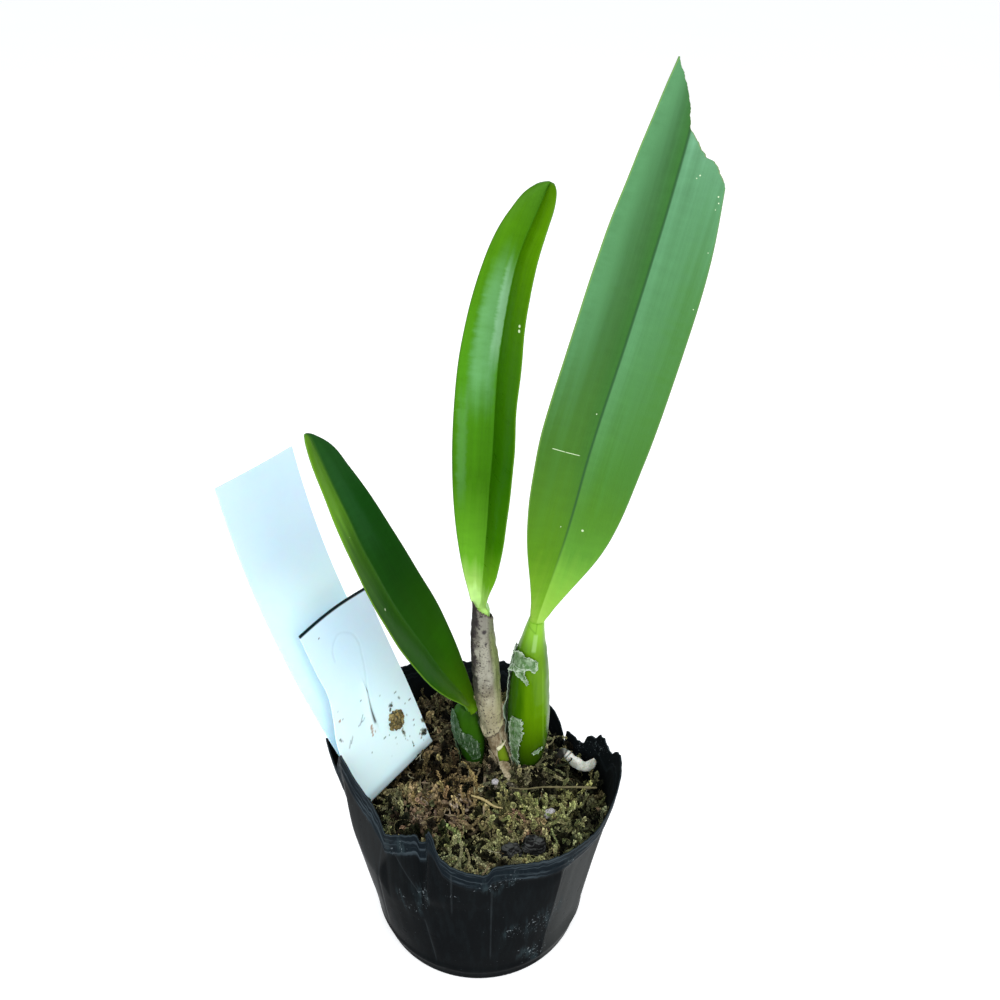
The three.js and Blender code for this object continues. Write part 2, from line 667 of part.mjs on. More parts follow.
rooms.push(grainBody(GAP));
for (const [name, piece, colour] of [['twig', TWIG, 0x77623c], ['straw', STRAW, 0xb99b58]]) {
  const path = laidOnMoss(piece);
  addPiece(name, tube(path, piece.radius, 8), colour, 0.8);
  rooms.push(...tubeRooms(path, piece.radius, 8));
}
addPiece('moss_bed', mossBed(rooms), 0x6d6a3c, 0.95);

export default orchid;
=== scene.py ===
# %% [markdown]
# # A young cattleya orchid in a film pot
# Three swollen stems, each with one stiff leaf, stand in moss in a thin black pot of the kind
# that nurseries use. The rim is torn, and a white plastic label, folded in two, leans over it.
# Everything here is measured in millimetres and turned into metres when a mesh is made.
# +Z is up, and the front of the plant looks along -Y.

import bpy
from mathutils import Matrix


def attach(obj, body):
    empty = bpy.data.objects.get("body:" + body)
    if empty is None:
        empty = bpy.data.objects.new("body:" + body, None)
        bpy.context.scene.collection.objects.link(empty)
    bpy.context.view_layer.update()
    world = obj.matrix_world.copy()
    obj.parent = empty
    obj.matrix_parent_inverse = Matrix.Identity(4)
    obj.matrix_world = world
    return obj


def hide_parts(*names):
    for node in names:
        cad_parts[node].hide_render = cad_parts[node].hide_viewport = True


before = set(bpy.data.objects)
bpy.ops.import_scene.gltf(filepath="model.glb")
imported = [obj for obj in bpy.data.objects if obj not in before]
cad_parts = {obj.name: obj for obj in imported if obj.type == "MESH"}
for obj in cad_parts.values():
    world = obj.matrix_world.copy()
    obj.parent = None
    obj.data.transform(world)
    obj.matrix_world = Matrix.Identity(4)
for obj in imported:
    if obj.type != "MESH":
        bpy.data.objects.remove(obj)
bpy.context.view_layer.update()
print("nodes in the frame:", len(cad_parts))

# %% Tools
import bpy
import numpy as np

MM = 0.001
BODY = "root"
scene = bpy.context.scene

# %% [markdown]
# ## Camera, light and floor
# The camera comes first, so that every picture has the same view. It looks down at the
# plant from a little above its tallest leaf. The floor is one large pale sheet that also fills
# the background. A white sky gives soft light from all round. Two window lamps in front draw
# the soft sheen on the leaves, and a weaker one behind keeps the back from going flat.

# %% The camera
CAMERA_PLACE = (0.007, -0.231, 0.3045)
LOOKING_DOWN = 31.5
eye = bpy.data.cameras.new("eye")
eye.lens = 36.0
eye.sensor_width = 36.0
eye.clip_start = 0.01
eye.clip_end = 50.0
camera = bpy.data.objects.new("camera", eye)
scene.collection.objects.link(camera)
camera.location = CAMERA_PLACE
camera.rotation_euler = (np.radians(90 - LOOKING_DOWN), 0.0, 0.0)
scene.camera = camera
scene.view_settings.view_transform = "Standard"
print("camera looks down by", LOOKING_DOWN, "degrees")

# %% The sky and the lamps
world = bpy.data.worlds.new("soft_sky")
world.use_nodes = True
sky = world.node_tree.nodes["Background"]
sky.inputs["Color"].default_value = (0.94, 0.97, 1.0, 1.0)
sky.inputs["Strength"].default_value = 0.72
scene.world = world

LAMP_TARGET = (0.0, 0.0, 0.12)


def hang_lamp(name, place, size, watts, colour):
    """A square soft lamp at a place, turned to face the plant's middle; all in metres."""
    lamp = bpy.data.lights.new(name, "AREA")
    lamp.shape = "SQUARE"
    lamp.size = size
    lamp.energy = watts
    lamp.color = colour
    holder = bpy.data.objects.new(name, lamp)
    scene.collection.objects.link(holder)
    aim = np.array(LAMP_TARGET) - np.array(place)
    holder.location = place
    holder.rotation_euler = (np.arctan2(np.hypot(aim[0], aim[1]), -aim[2]), 0.0,
                             np.arctan2(-aim[0], aim[1]))


hang_lamp("window_left", (-0.3, -0.8, 0.85), 0.8, 6.0, (0.97, 0.99, 1.0))
hang_lamp("window_right", (0.55, -0.8, 0.8), 0.8, 6.0, (0.98, 0.99, 1.0))
hang_lamp("window_rear", (0.1, 1.0, 0.9), 0.9, 3.0, (0.97, 0.99, 1.0))

# %% [markdown]
# ## Small helpers
# Every new piece is a grid of points worked out with whole arrays. These helpers turn knots
# into smooth curves, grids into faces, and arrays into meshes. The roughness of real things
# comes from a sum of sine waves in random directions, which is smooth and always repeats the
# same way because its seed is fixed.


# %% Curves through knots
def smooth_knots(x, rows):
    """The smooth curve through rows of [x, y, ...], read at x. Between two knots it is a cubic,
    and its slope at a knot is the mean of the two chords there, the nearer knot counting more."""
    rows = np.asarray(rows, float)
    x = np.asarray(x, float)
    at, value = rows[:, 0], rows[:, 1:]
    width = np.diff(at)
    chord = np.diff(value, axis=0) / width[:, None]
    slope = np.empty_like(value)
    slope[0], slope[-1] = chord[0], chord[-1]
    before, after = width[:-1, None], width[1:, None]
    slope[1:-1] = (chord[:-1] * after + chord[1:] * before) / (before + after)
    i = np.clip(np.searchsorted(at, x, side="right") - 1, 0, len(at) - 2)
    step = width[i][..., None]
    t = (x - at[i])[..., None] / step
    found = (2 * t**3 - 3 * t**2 + 1) * value[i] + (t**3 - 2 * t**2 + t) * step * slope[i]
    found += (3 * t**2 - 2 * t**3) * value[i + 1] + (t**3 - t**2) * step * slope[i + 1]
    return found[..., 0] if rows.shape[1] == 2 else found


def chord_shares(points):
    """The share of a path's length at each of its points, and that length."""
    chord = np.linalg.norm(np.diff(np.asarray(points, float), axis=0), axis=1)
    return np.concatenate([[0.0], np.cumsum(chord)]) / chord.sum(), chord.sum()


def path_through(points):
    """A curve through points as a function of a share from 0 to 1 of its chord length."""
    rows = np.column_stack([chord_shares(points)[0], points])
    return lambda s: smooth_knots(s, rows)


def ease(value, low, high):
    """0 below low, 1 above high, and an S-shaped rise between them."""
    t = np.clip((np.asarray(value, float) - low) / (high - low), 0.0, 1.0)
    return t * t * (3 - 2 * t)


def unit(vectors):
    """Vectors of length 1 along the last axis."""
    return vectors / np.maximum(np.linalg.norm(vectors, axis=-1, keepdims=True), 1e-12)


def ripple(points, wavelength, seed, waves=16):
    """Smooth roughness of about -1 to 1: a sum of sine waves in random directions, all of about
    one wavelength, at points with any number of columns."""
    chance = np.random.default_rng(seed)
    points = np.asarray(points, float)
    way = unit(chance.normal(size=(waves, points.shape[-1])))
    way *= 2 * np.pi / wavelength * chance.uniform(0.7, 1.4, (waves, 1))
    phase = chance.uniform(0, 2 * np.pi, waves)
    return np.sin(points @ way.T + phase).sum(-1) / np.sqrt(waves)


print("half way up a curve through 0, 1, 0:", smooth_knots([0.5], [[0, 0], [0.5, 1], [1, 0]]))


# %% Grids and meshes
def grid_faces(rows, columns, round_rows=False, round_columns=False):
    """The quads of a grid of points. Seen from outside, rows run up and columns run right."""
    i, j = np.meshgrid(np.arange(rows - (not round_rows)),
                       np.arange(columns - (not round_columns)), indexing="ij")
    up, right = (i + 1) % rows, (j + 1) % columns
    corners = [i * columns + j, i * columns + right, up * columns + right, up * columns + j]
    return np.stack(corners, -1).reshape(-1, 4)


def skin_over(rings):
    """Points and faces of a closed skin over rings, with a hub in the middle of each end. Seen
    against the way the rings follow, each ring runs anticlockwise."""
    rows, columns = rings.shape[:2]
    hubs = rings[[0, -1]].mean(1)
    points = np.concatenate([rings.reshape(-1, 3), hubs])
    j = np.arange(columns)
    k = (j + 1) % columns
    last = (rows - 1) * columns
    foot = np.stack([np.full(columns, rows * columns), k, j], -1)
    head = np.stack([np.full(columns, rows * columns + 1), last + j, last + k], -1)
    return points, [grid_faces(rows, columns, round_columns=True), foot, head]


def rings_along(centres, radius, sides):
    """Rings square to a path: centres is (n, 3), and radius has one number for each ring."""
    forward = unit(np.gradient(centres, axis=0))
    side = unit(np.cross(forward, np.array([0.3, 0.8, 0.52])))
    up = np.cross(side, forward)
    turn = 2 * np.pi * np.arange(sides) / sides
    way = side[:, None] * np.cos(turn)[:, None] - up[:, None] * np.sin(turn)[:, None]
    return centres[:, None] + radius[:, None, None] * way


def join_shapes(shapes):
    """One set of points, faces and marks from several (points, face sets, marks)."""
    points, quads, triangles, marks, start = [], [], [], {}, 0
    for shape_points, face_sets, shape_marks in shapes:
        points.append(shape_points)
        for faces in face_sets:
            (quads if faces.shape[1] == 4 else triangles).append(faces + start)
        for key, values in shape_marks.items():
            marks.setdefault(key, []).append(values)
        start += len(shape_points)
    face_sets = [np.concatenate(kind) for kind in (quads, triangles) if kind]
    return np.concatenate(points), face_sets, {k: np.concatenate(v) for k, v in marks.items()}


def put_mesh(name, shape, finish, slot, *stands_for, sharp=60, smooth=True):
    """A piece from a shape: points in millimetres, lists of faces and, if it has any, marks.
    Marks are values kept at each point for the finish to read: numbers, or rows of three.
    Edges that turn by more than sharp degrees stay sharp."""
    points, face_sets, *marks = shape
    mesh = bpy.data.meshes.new(name)
    counts = np.concatenate([np.full(len(faces), faces.shape[1]) for faces in face_sets])
    corners = np.concatenate([faces.ravel() for faces in face_sets])
    mesh.vertices.add(len(points))
    mesh.vertices.foreach_set("co", (np.asarray(points, float) * MM).ravel())
    mesh.loops.add(len(corners))
    mesh.loops.foreach_set("vertex_index", corners.astype(np.int32))
    mesh.polygons.add(len(counts))
    starts = np.concatenate([[0], np.cumsum(counts)[:-1]])
    mesh.polygons.foreach_set("loop_start", starts.astype(np.int32))
    mesh.polygons.foreach_set("use_smooth", np.full(len(counts), smooth))
    for key, values in (marks[0] if marks else {}).items():
        values = np.asarray(values, float)
        kind, field = ("FLOAT_VECTOR", "vector") if values.ndim == 2 else ("FLOAT", "value")
        mesh.attributes.new(key, kind, "POINT").data.foreach_set(field, values.ravel())
    mesh.update(calc_edges=True)
    if sharp:
        mesh.set_sharp_from_angle(angle=np.radians(sharp))
    mesh.materials.append(finish.material)
    piece = bpy.data.objects.new(name, mesh)
    scene.collection.objects.link(piece)
    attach(piece, BODY)
    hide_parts(*stands_for)
    print(f"{name}: {int((counts - 2).sum())} triangles")


# %% [markdown]
# ## Finishes
# A finish is one Principled shader with a few nodes in front of it. The small class below
# gives the common nodes short names, so that a finish reads like a recipe: take the marks
# kept at each point, turn them into masks, and lay one tint after another over the colour.


# %% A finish
class Finish:
    """A material built of one shader and the nodes that feed it. Every method takes plain
    numbers, colours or the outputs of other nodes, and gives back an output."""

    def __init__(self, name, **sockets):
        self.material = bpy.data.materials.new(name)
        self.material.use_nodes = True
        self.tree = self.material.node_tree
        self.tree.nodes.clear()
        self.shader = self.add("ShaderNodeBsdfPrincipled")
        output = self.add("ShaderNodeOutputMaterial")
        self.tree.links.new(self.shader.outputs[0], output.inputs[0])
        self.colour = None
        self.set({key.replace("_", " "): value for key, value in sockets.items()})

    def wire(self, node, feeds):
        """Links each feed that is an output to its socket, and sets the others as values."""
        for key, value in feeds.items():
            socket = node.inputs[key]
            if isinstance(value, bpy.types.NodeSocket):
                self.tree.links.new(value, socket)
            elif socket.type == "RGBA":
                socket.default_value = (*value[:3], 1.0)
            else:
                socket.default_value = value
        return node

    def add(self, kind, feeds=None, **settings):
        node = self.tree.nodes.new(kind)
        for key, value in settings.items():
            setattr(node, key, value)
        return self.wire(node, feeds or {})

    def set(self, feeds):
        self.wire(self.shader, feeds)

    def mark(self, name):
        """A mark of three numbers, and below it one of a single number."""
        return self.add("ShaderNodeAttribute", attribute_name=name).outputs["Vector"]

    def number(self, name):
        return self.add("ShaderNodeAttribute", attribute_name=name).outputs["Fac"]

    def vector(self, x, y, z):
        return self.add("ShaderNodeCombineXYZ", {0: x, 1: y, 2: z}).outputs[0]

    def parts(self, vector):
        return self.add("ShaderNodeSeparateXYZ", {0: vector}).outputs

    def calc(self, operation, a, b=0.0):
        return self.add("ShaderNodeMath", {0: a, 1: b}, operation=operation).outputs[0]

    def both(self, a, b):
        """Two masks as one: 1 only where both are."""
        return self.calc("MULTIPLY", a, b)

    def flip(self, a):
        return self.calc("SUBTRACT", 1.0, a)

    def ease(self, value, low, high):
        """0 at low and 1 at high, with an S-shaped rise; low may be the larger one."""
        feeds = {"Value": value, "From Min": low, "From Max": high}
        return self.add("ShaderNodeMapRange", feeds, interpolation_type="SMOOTHSTEP").outputs[0]

    def mix(self, share, a, b):
        """Colour a where share is 0, colour b where it is 1."""
        return self.add("ShaderNodeMix", {0: share, 6: a, 7: b}, data_type="RGBA").outputs[2]

    def ramp(self, value, stops):
        """Colours laid along a value: stops are rows of [value, colour]."""
        node = self.add("ShaderNodeValToRGB", {0: value})
        for end in (0, -1):
            node.color_ramp.elements[end].position = stops[end][0]
            node.color_ramp.elements[end].color = (*stops[end][1], 1.0)
        for place, colour in stops[1:-1]:
            node.color_ramp.elements.new(place).color = (*colour, 1.0)
        return node.outputs[0]

    def between(self, share, a, b):
        """The same for two plain numbers."""
        return self.add("ShaderNodeMix", {0: share, 2: a, 3: b}).outputs[0]

    def scale(self, colour, by):
        """A colour made lighter or darker by a factor."""
        return self.add("ShaderNodeVectorMath", {0: colour, "Scale": by},
                        operation="SCALE").outputs[0]

    def lay(self, mask, tint, amount=1.0):
        """Lays a tint over the colour so far where mask is 1, as strongly as amount."""
        share = mask if amount == 1.0 else self.both(mask, amount)
        self.colour = self.mix(share, self.colour, tint)

    def paint(self, **sockets):
        """Feeds the colour so far to the shader, and other sockets with it."""
        self.set({"Base Color": self.colour, **sockets})

    def stretch(self, vector, by):
        feeds = {"Vector": vector, "Scale": by}
        return self.add("ShaderNodeMapping", feeds).outputs[0]

    def noise(self, vector, scale, detail=2.0, rough=0.5):
        feeds = {"Vector": vector, "Scale": scale, "Detail": detail, "Roughness": rough}
        return self.add("ShaderNodeTexNoise", feeds).outputs[0]

    def cells(self, vector, scale):
        feeds = {"Vector": vector, "Scale": scale}
        return self.add("ShaderNodeTexVoronoi", feeds).outputs["Distance"]

    def band(self, value, low, high, soft):
        """1 between low and high; soft is the share of the span that each side fades over."""
        soft = soft * (high - low)
        return self.both(self.ease(value, low, low + soft),
                         self.flip(self.ease(value, high - soft, high)))

    def over_vector(self, operation, a, b):
        return self.add("ShaderNodeVectorMath", {0: a, 1: b}, operation=operation).outputs

    def spot(self, vector, centre, size, soft=0.4):
        """1 inside a round spot in the plane of the first two numbers of vector, 0 outside."""
        flat = self.over_vector("MULTIPLY", vector, (1.0, 1.0, 0.0))[0]
        far = self.over_vector("DISTANCE", flat, (*centre, 0.0))["Value"]
        return self.flip(self.ease(far, size * (1 - soft), size))

    def line(self, vector, start, end, half):
        """1 on a straight line in the plane of the first two numbers, 0 farther than half."""
        way = np.subtract(end, start)
        long = float(np.hypot(*way))
        along = way / long
        offset = self.over_vector("SUBTRACT", vector, (*(np.add(start, end) / 2), 0.0))[0]
        run = self.over_vector("DOT_PRODUCT", offset, (*along, 0.0))["Value"]
        off = self.over_vector("DOT_PRODUCT", offset, (-along[1], along[0], 0.0))["Value"]
        near = self.flip(self.ease(self.calc("ABSOLUTE", off), half * 0.4, half))
        inside = self.flip(self.ease(self.calc("ABSOLUTE", run), long * 0.4, long * 0.55))
        return self.both(near, inside)

    def most(self, *values):
        """The largest of several masks at each place."""
        best = values[0]
        for value in values[1:]:
            best = self.calc("MAXIMUM", best, value)
        return best

    def bump(self, height, depth, strength=1.0):
        """Raises the shaded surface by height, 1 being depth millimetres."""
        feeds = {"Height": height, "Distance": depth * MM, "Strength": strength}
        self.set({"Normal": self.add("ShaderNodeBump", feeds).outputs[0]})


# %% Places on the object
def mm_place(finish):
    """The place on the whole object, in millimetres."""
    place = finish.add("ShaderNodeTexCoord").outputs["Object"]
    return finish.stretch(place, (1000.0, 1000.0, 1000.0))


def far_from(finish, place, centre, size, soft=0.5):
    """1 near a point given in millimetres, 0 farther off than size."""
    far = finish.over_vector("DISTANCE", place, tuple(centre))["Value"]
    return finish.flip(finish.ease(far, size * (1 - soft), size * (1 + soft)))


def grainy(name, dark, light, grain, depth, strength=1.0, stretch=(1.0, 1.0, 1.0), **sockets):
    """A finish of two tints mixed by one noise, which also raises the surface by its depth. grain
    is the noise's scale and detail, after the place is stretched."""
    finish = Finish(name, **sockets)
    noise = finish.noise(finish.stretch(mm_place(finish), stretch), *grain)
    finish.colour = finish.mix(noise, dark, light)
    finish.paint()
    if depth:
        finish.bump(noise, depth, strength)
    return finish


# %% The floor
floor_finish = Finish("pale_floor", Roughness=0.9, Emission_Color=(1.0, 1.0, 1.0),
                      Emission_Strength=0.35)
floor_place = floor_finish.add("ShaderNodeTexCoord").outputs["Object"]
floor_finish.colour = floor_finish.mix(floor_finish.noise(floor_place, 3.0), (0.9, 0.9, 0.9),
                                       (0.93, 0.93, 0.93))
floor_finish.paint()
FLOOR_HALF = 9.0
FLOOR_LEVEL = -0.0003
floor_mesh = bpy.data.meshes.new("floor")
floor_corners = [(x * FLOOR_HALF, y * FLOOR_HALF, FLOOR_LEVEL)
                 for x, y in ((-1, -1), (1, -1), (1, 1), (-1, 1))]
floor_mesh.from_pydata(floor_corners, [], [(0, 1, 2, 3)])
floor_mesh.materials.append(floor_finish.material)
floor = bpy.data.objects.new("floor", floor_mesh)
scene.collection.objects.link(floor)
print("floor is", 2 * FLOOR_HALF, "m wide")

# %% [markdown]
# ## The film pot
# The pot is a welded bag of thin black plastic film. It is a cone, but soft: the rim is torn,
# the film is dented at the front left, and handling has left long upright creases. One grid
# does it all. Its columns go round, and its rows go from under the foot up the outside, over
# the rim and down the inside, so the film is closed and has a real thickness. Torn edges are
# knots of angle, height and lean; creases are added to the radius.

# %% The torn rim
FILM_COLUMNS = 560
FILM_THICKNESS = 0.45
FOOT_RADIUS = 34.4
FLARE = 0.157
SOFT_DEPTH = 30.0
SOFT_POWER = 1.4
# [angle from +X in degrees, height of the torn edge, how far it leans out (+) or in (-)]
RIM = np.array([
    [-180, 74.2, 1.4], [-179.2, 75.3, 1.6], [-175.2, 72.4, 1.0], [-171.5, 69.6, 0.2],
    [-169.7, 68.4, -0.3], [-167.8, 72.8, -1.6], [-164.5, 78.2, -3.0], [-161, 81.2, -3.7],
    [-157.4, 79.4, -4.4], [-153.7, 77, -4.9], [-149, 74.9, -5.5], [-144, 73.6, -5.7],
    [-140, 72.6, -5.6], [-136, 69.5, -5.0], [-133, 64.6, -4.2], [-131, 65.6, -4.0],
    [-128, 67.2, -4.0], [-122.4, 70.1, -4.4], [-113.9, 74.3, -4.1], [-113.3, 71.3, -4.0],
    [-110, 72.3, -3.6], [-109.3, 76.4, -3.3], [-106.6, 82.0, -2.2], [-105.1, 80.1, -1.6],
    [-103.4, 75.7, -0.6], [-102, 72.8, 0], [-99.5, 70.2, 0], [-97, 68.4, 0], [-92, 66.6, 0],
    [-87, 65.3, 0], [-85.4, 65.4, 0], [-83.9, 69.2, 0.2], [-80, 69.3, 0.1], [-64, 66, 0],
    [-50, 63.3, 0], [-35, 60.5, 0.2], [-20, 61, 0.6], [-8, 63.6, 1.4], [-2, 66.2, 1.2],
    [1.3, 65.9, 1.0], [5, 64.6, 0.6], [7.7, 60.9, 0.3], [12.3, 60.5, 0], [17.3, 60.6, 0],
    [21.3, 60, 0], [23.4, 57.3, -0.4], [26, 56.6, -0.6], [28.6, 55.2, -0.9], [29.6, 51.8, -0.8],
    [31.5, 50.6, -0.8], [34.3, 50.4, -1.0], [38, 51, -1.3], [41.4, 51.4, -1.9],
    [42.2, 43.4, -0.7], [43.1, 44.3, -0.3], [45.2, 47.3, 0], [48, 50.9, 0], [51.6, 53.7, 0],
    [56, 55.9, 0], [61, 60, 0], [66, 63, 0], [79, 68, 0], [95, 67.6, 0], [127, 72, 0],
    [155, 75, 0.5], [172, 74.6, 0.9], [180, 74.2, 1.4],
])


def rim_height(angle):
    """The height of the torn edge at an angle: straight lines between the knots."""
    return np.interp(angle, RIM[:, 0], RIM[:, 1])


def film_cone(angle, z):
    """The film without creases: the cone, plus the lean, which dies away below the rim."""
    rise = np.clip(1 - (rim_height(angle) - z) / SOFT_DEPTH, 0, 1)
    return FOOT_RADIUS + FLARE * z + np.interp(angle, RIM[:, 0], RIM[:, 2]) * rise**SOFT_POWER


# [angle and height of the upper end, angle and height of the lower end, depth, width, step]
CREASES = [
    [-134, 62, -146, 12, 0.2, 0.7, 0.15], [-107.4, 79, -112.3, 45, 0.3, 0.7, 2.0],
    [-114, 34, -112, 9, 0.15, 0.9, 0.2], [-98.8, 66, -100.5, 42, 0.1, 0.6, -0.1],
    [-83.8, 58, -83.9, 14, 0.08, 0.7, 0.2], [-53, 55, -55.4, 5, -0.25, 0.7, -0.8],
    [-128, 62, -113, 46, 0.12, 1.6, 0.1], [-162, 70, -158, 20, 0.2, 1.2, 0.3],
    [66, 60, 62, 14, 0.3, 1.1, -0.4], [104, 64, 108, 12, 0.35, 1.0, 0.5],
    [136, 70, 131, 16, 0.3, 0.9, -0.5],
]
# the flat part beside the longest crease: [middle angle, half its width], in degrees
FACET = (-38.5, 15.0)


def film_relief(angle, z):
    """How far creases, ridges and slack push the film out. A crease is a bell-shaped groove
    along a slanting line, with the film on one side standing a little prouder. Beside the
    longest crease the film is flat, a chord instead of an arc."""
    offset = np.zeros(np.broadcast(angle, z).shape)
    below = rim_height(angle) - z
    per_degree = (FOOT_RADIUS + FLARE * z) * np.pi / 180
    for top_angle, top, foot_angle, foot, depth, width, step in CREASES:
        share = (z - foot) / (top - foot)
        across = (angle - foot_angle - (top_angle - foot_angle) * share) * per_degree
        shown = ease(share, -0.05, 0.15) * (1 - ease(share, 0.92, 1.03))
        valley = depth * np.exp(-(across / width) ** 2)
        ledge = step * np.tanh(across / width) * np.exp(-np.abs(across) / 7.0) / 2
        offset += shown * (ledge - valley)
    from_middle = np.radians(np.clip(angle - FACET[0], -FACET[1], FACET[1]))
    chord = 1 - np.cos(np.radians(FACET[1])) / np.cos(from_middle)
    offset -= chord * (FOOT_RADIUS + FLARE * z) * ease(z, 4, 12) * ease(below, 5, 12)
    # the rolled band: ridges 2.6 mm apart, and one bead 3.4 mm under the rim
    band = 1 - ease(below, 7.5, 9.5)
    wave = 0.5 * ripple(np.stack(np.broadcast_arrays(angle * 0.7, 0 * below), -1), 30, 5)
    offset += band * (0.2 - 0.05 * np.cos(2 * np.pi * (below + wave) / 2.6))
    offset += band * 0.16 * np.exp(-(((below + wave - 3.4) / 0.6) ** 2))
    # the weld: a bead 6.3 mm up, with the film drawn in below it
    offset += 0.35 * np.exp(-(((z - 6.3) / 0.9) ** 2)) - 0.35 * (1 - ease(z, 2.0, 6.0))
    # slack: long soft waves and a few short ones
    arc = np.stack(np.broadcast_arrays(angle * 0.7, z * 0.35), -1)
    slack = ease(z, 8, 20)
    offset += slack * (0.2 * ripple(arc, 24, 3) + 0.03 * ripple(arc * [1, 0.5], 6, 4))
    return offset


# %% The film's grid
FILM_BASE = 1.2


def film_rings(steps=76):
    """Rows of the film: under the foot, up the outside, over the rim and down the inside. The
    inner face is the outer one moved in by the film's thickness, with every second row."""
    angle = np.linspace(-180, 180, FILM_COLUMNS, endpoint=False)[None, :]
    climb = 1 - (1 - np.linspace(0, 1, steps)[:, None]) ** 1.35
    ragged = 0.22 * ripple(np.stack([angle[0] * 0.8, 0 * angle[0]], -1), 2.2, 8)
    top = rim_height(angle) + ragged
    z_wall = FILM_BASE + (top - FILM_BASE) * climb
    outside = film_cone(angle, z_wall) + film_relief(angle, z_wall)
    foot_r, foot_z, back_r, back_z = [
        np.array(column)[:, None] + 0 * angle
        for column in ([30.0, 33.2, 34.0], [0.0, 0.0, 0.45], [33.4, 30.0], [0.9, 0.45])]
    lining, z_lining = outside[::-2] - FILM_THICKNESS, z_wall[::-2]
    radius = np.concatenate([foot_r, outside, lining, back_r])
    z = np.concatenate([foot_z, z_wall, z_lining, back_z])
    turn = np.radians(angle)
    points = np.stack([radius * np.cos(turn), radius * np.sin(turn), z], -1).reshape(-1, 3)
    inner = np.arange(len(z)) >= len(foot_z) + steps
    marks = {"below": (top - z).ravel(), "inner": np.repeat(inner, FILM_COLUMNS)}
    return points, [grid_faces(*z.shape, round_rows=True, round_columns=True)], marks


film_wall = film_rings()
print("points and faces of the film:", len(film_wall[0]), len(film_wall[1][0]))

# %% [markdown]
# ## The film's finish
# Black polythene is satin: nearly black in front, with a painted grey sheen where it is
# stretched flat at the sides. The rolled band under the rim has a painted bluish sheen and
# painted highlights in broken lines that run with the rim. Painted pale highlights run along
# the creases, and handling leaves pale scuffs and dust, mostly near them: they are a fine
# noise, lifted over its threshold only inside a few soft patches.

# %% The film's finish
film = Finish("black_film", Specular_IOR_Level=0.0015)
film_place = mm_place(film)
film_x, film_y, film_z = film.parts(film_place)
film_below = film.number("below")
film_cloud = film.noise(film.stretch(film_place, (0.05, 0.05, 0.02)), 1.0, 4.0)
film.colour = film.mix(film_cloud, (0.0028, 0.0034, 0.0042), (0.0065, 0.0075, 0.008))
film_angle = film.calc("ARCTAN2", film_y, film_x)


def round_film(low, high):
    """Rises from 0 to 1 between two angles round the pot, in degrees from +X."""
    return film.ease(film_angle, np.radians(low), np.radians(high))


# painted sheen on the flat face: it starts at a crease and fades out round the pot
flat_side_sheen = film.calc("ADD", film.both(round_film(-54.6, -53.8), 0.5),
                      film.both(round_film(-54, -40), 0.5))
film.lay(film.both(flat_side_sheen, film.flip(round_film(-25, 10))), (0.041, 0.043, 0.042), 0.9)
# painted sheen: the left side is paler behind a fold that slants down
fold_y = film.calc("ADD", film.both(film_z, -0.273), -15.0)
left_side_sheen = film.ease(film.calc("SUBTRACT", film_y, fold_y), -0.6, 0.8)
film.lay(film.both(left_side_sheen, film.ease(film_x, -20.0, -27.0)), (0.02, 0.021, 0.0215), 0.85)
# painted bluish sheen on the rolled band, and painted highlights in broken lines along it and on
# the torn edge
film_band = film.flip(film.ease(film_below, 6.5, 9.5))
film.lay(film_band, (0.0068, 0.0108, 0.0145), 0.8)
with_rim = film.vector(film.both(film_below, 0.9), film.both(film_x, 0.06),
                       film.both(film_y, 0.06))
rim_highlight = film.ease(film.noise(with_rim, 1.0, 3.0, 0.6), 0.52, 0.66)
rim_edge_highlight = film.flip(film.ease(film_below, 0.15, 0.55))
rim_highlight = film.most(film.both(film.both(rim_highlight, film_band), 0.8), film.both(rim_edge_highlight, 0.6))
film.lay(rim_highlight, (0.045, 0.06, 0.07))
streak = film.noise(film.stretch(film_place, (0.5, 0.5, 0.05)), 1.0, 4.0, 0.65)
film_wrap = film.vector(film.both(film_angle, 180 / np.pi), film_z, 0.0)
# painted pale highlights along the creases
crease_highlight = film.most(*[film.line(film_wrap, row[:2], row[2:4], 0.55) for row in CREASES])
film.lay(film.both(crease_highlight, film.both(streak, 0.5)), (0.035, 0.042, 0.046))
# soft patches where the film is scuffed: [angle, height, size]
SCUFFS = [[-124.5, 42.5, 2.0], [-120.4, 38.5, 3.5], [-112.5, 49, 3.5], [-113, 43, 2.5],
          [-84, 59, 4.5], [-77, 61, 4.0], [-73.6, 30, 3.5], [-57.1, 9, 4.0], [-57, 30, 7.0],
          [-99.5, 53, 1.5], [-128, 62, 2.5], [-122, 66, 2.5], [-64, 14, 4.0], [-64, 33, 3.5],
          [14, 30, 6.0], [100, 35, 7.0], [150, 50, 6.0], [-50, 58, 3.0], [-38, 50, 2.0],
          [20, 55, 5.0], [31, 48, 4.0], [24, 65, 4.0], [13, 60, 3.5]]
scuffed = film.most(*[
    far_from(film, film_place, (film_cone(angle, z) * np.cos(np.radians(angle)),
                                film_cone(angle, z) * np.sin(np.radians(angle)), z), size, 0.7)
    for angle, z, size in SCUFFS])
dusty = film.both(film.ease(streak, 0.46, 0.66), film.calc("ADD", film.both(scuffed, 0.85), 0.1))
film.lay(dusty, (0.024, 0.037, 0.042), 0.7)
fleck = film.noise(film.stretch(film_place, (1.3, 1.3, 0.8)), 1.0, 4.0, 0.7)
fleck = film.ease(film.calc("ADD", fleck, film.both(scuffed, 0.11)), 0.7, 0.75)
film.lay(film.number("inner"), (0.006, 0.007, 0.007), 0.7)
film.lay(fleck, (0.24, 0.28, 0.3), 0.6)
film_grain = film.noise(film_place, 0.3, 4.0, 0.55)
film.paint(Roughness=film.between(film_grain, 0.24, 0.34))
film.bump(film_grain, 0.1, 0.25)

# %% Make the film pot
put_mesh("film_wall", film_wall, film, "black_film", "film_pot")


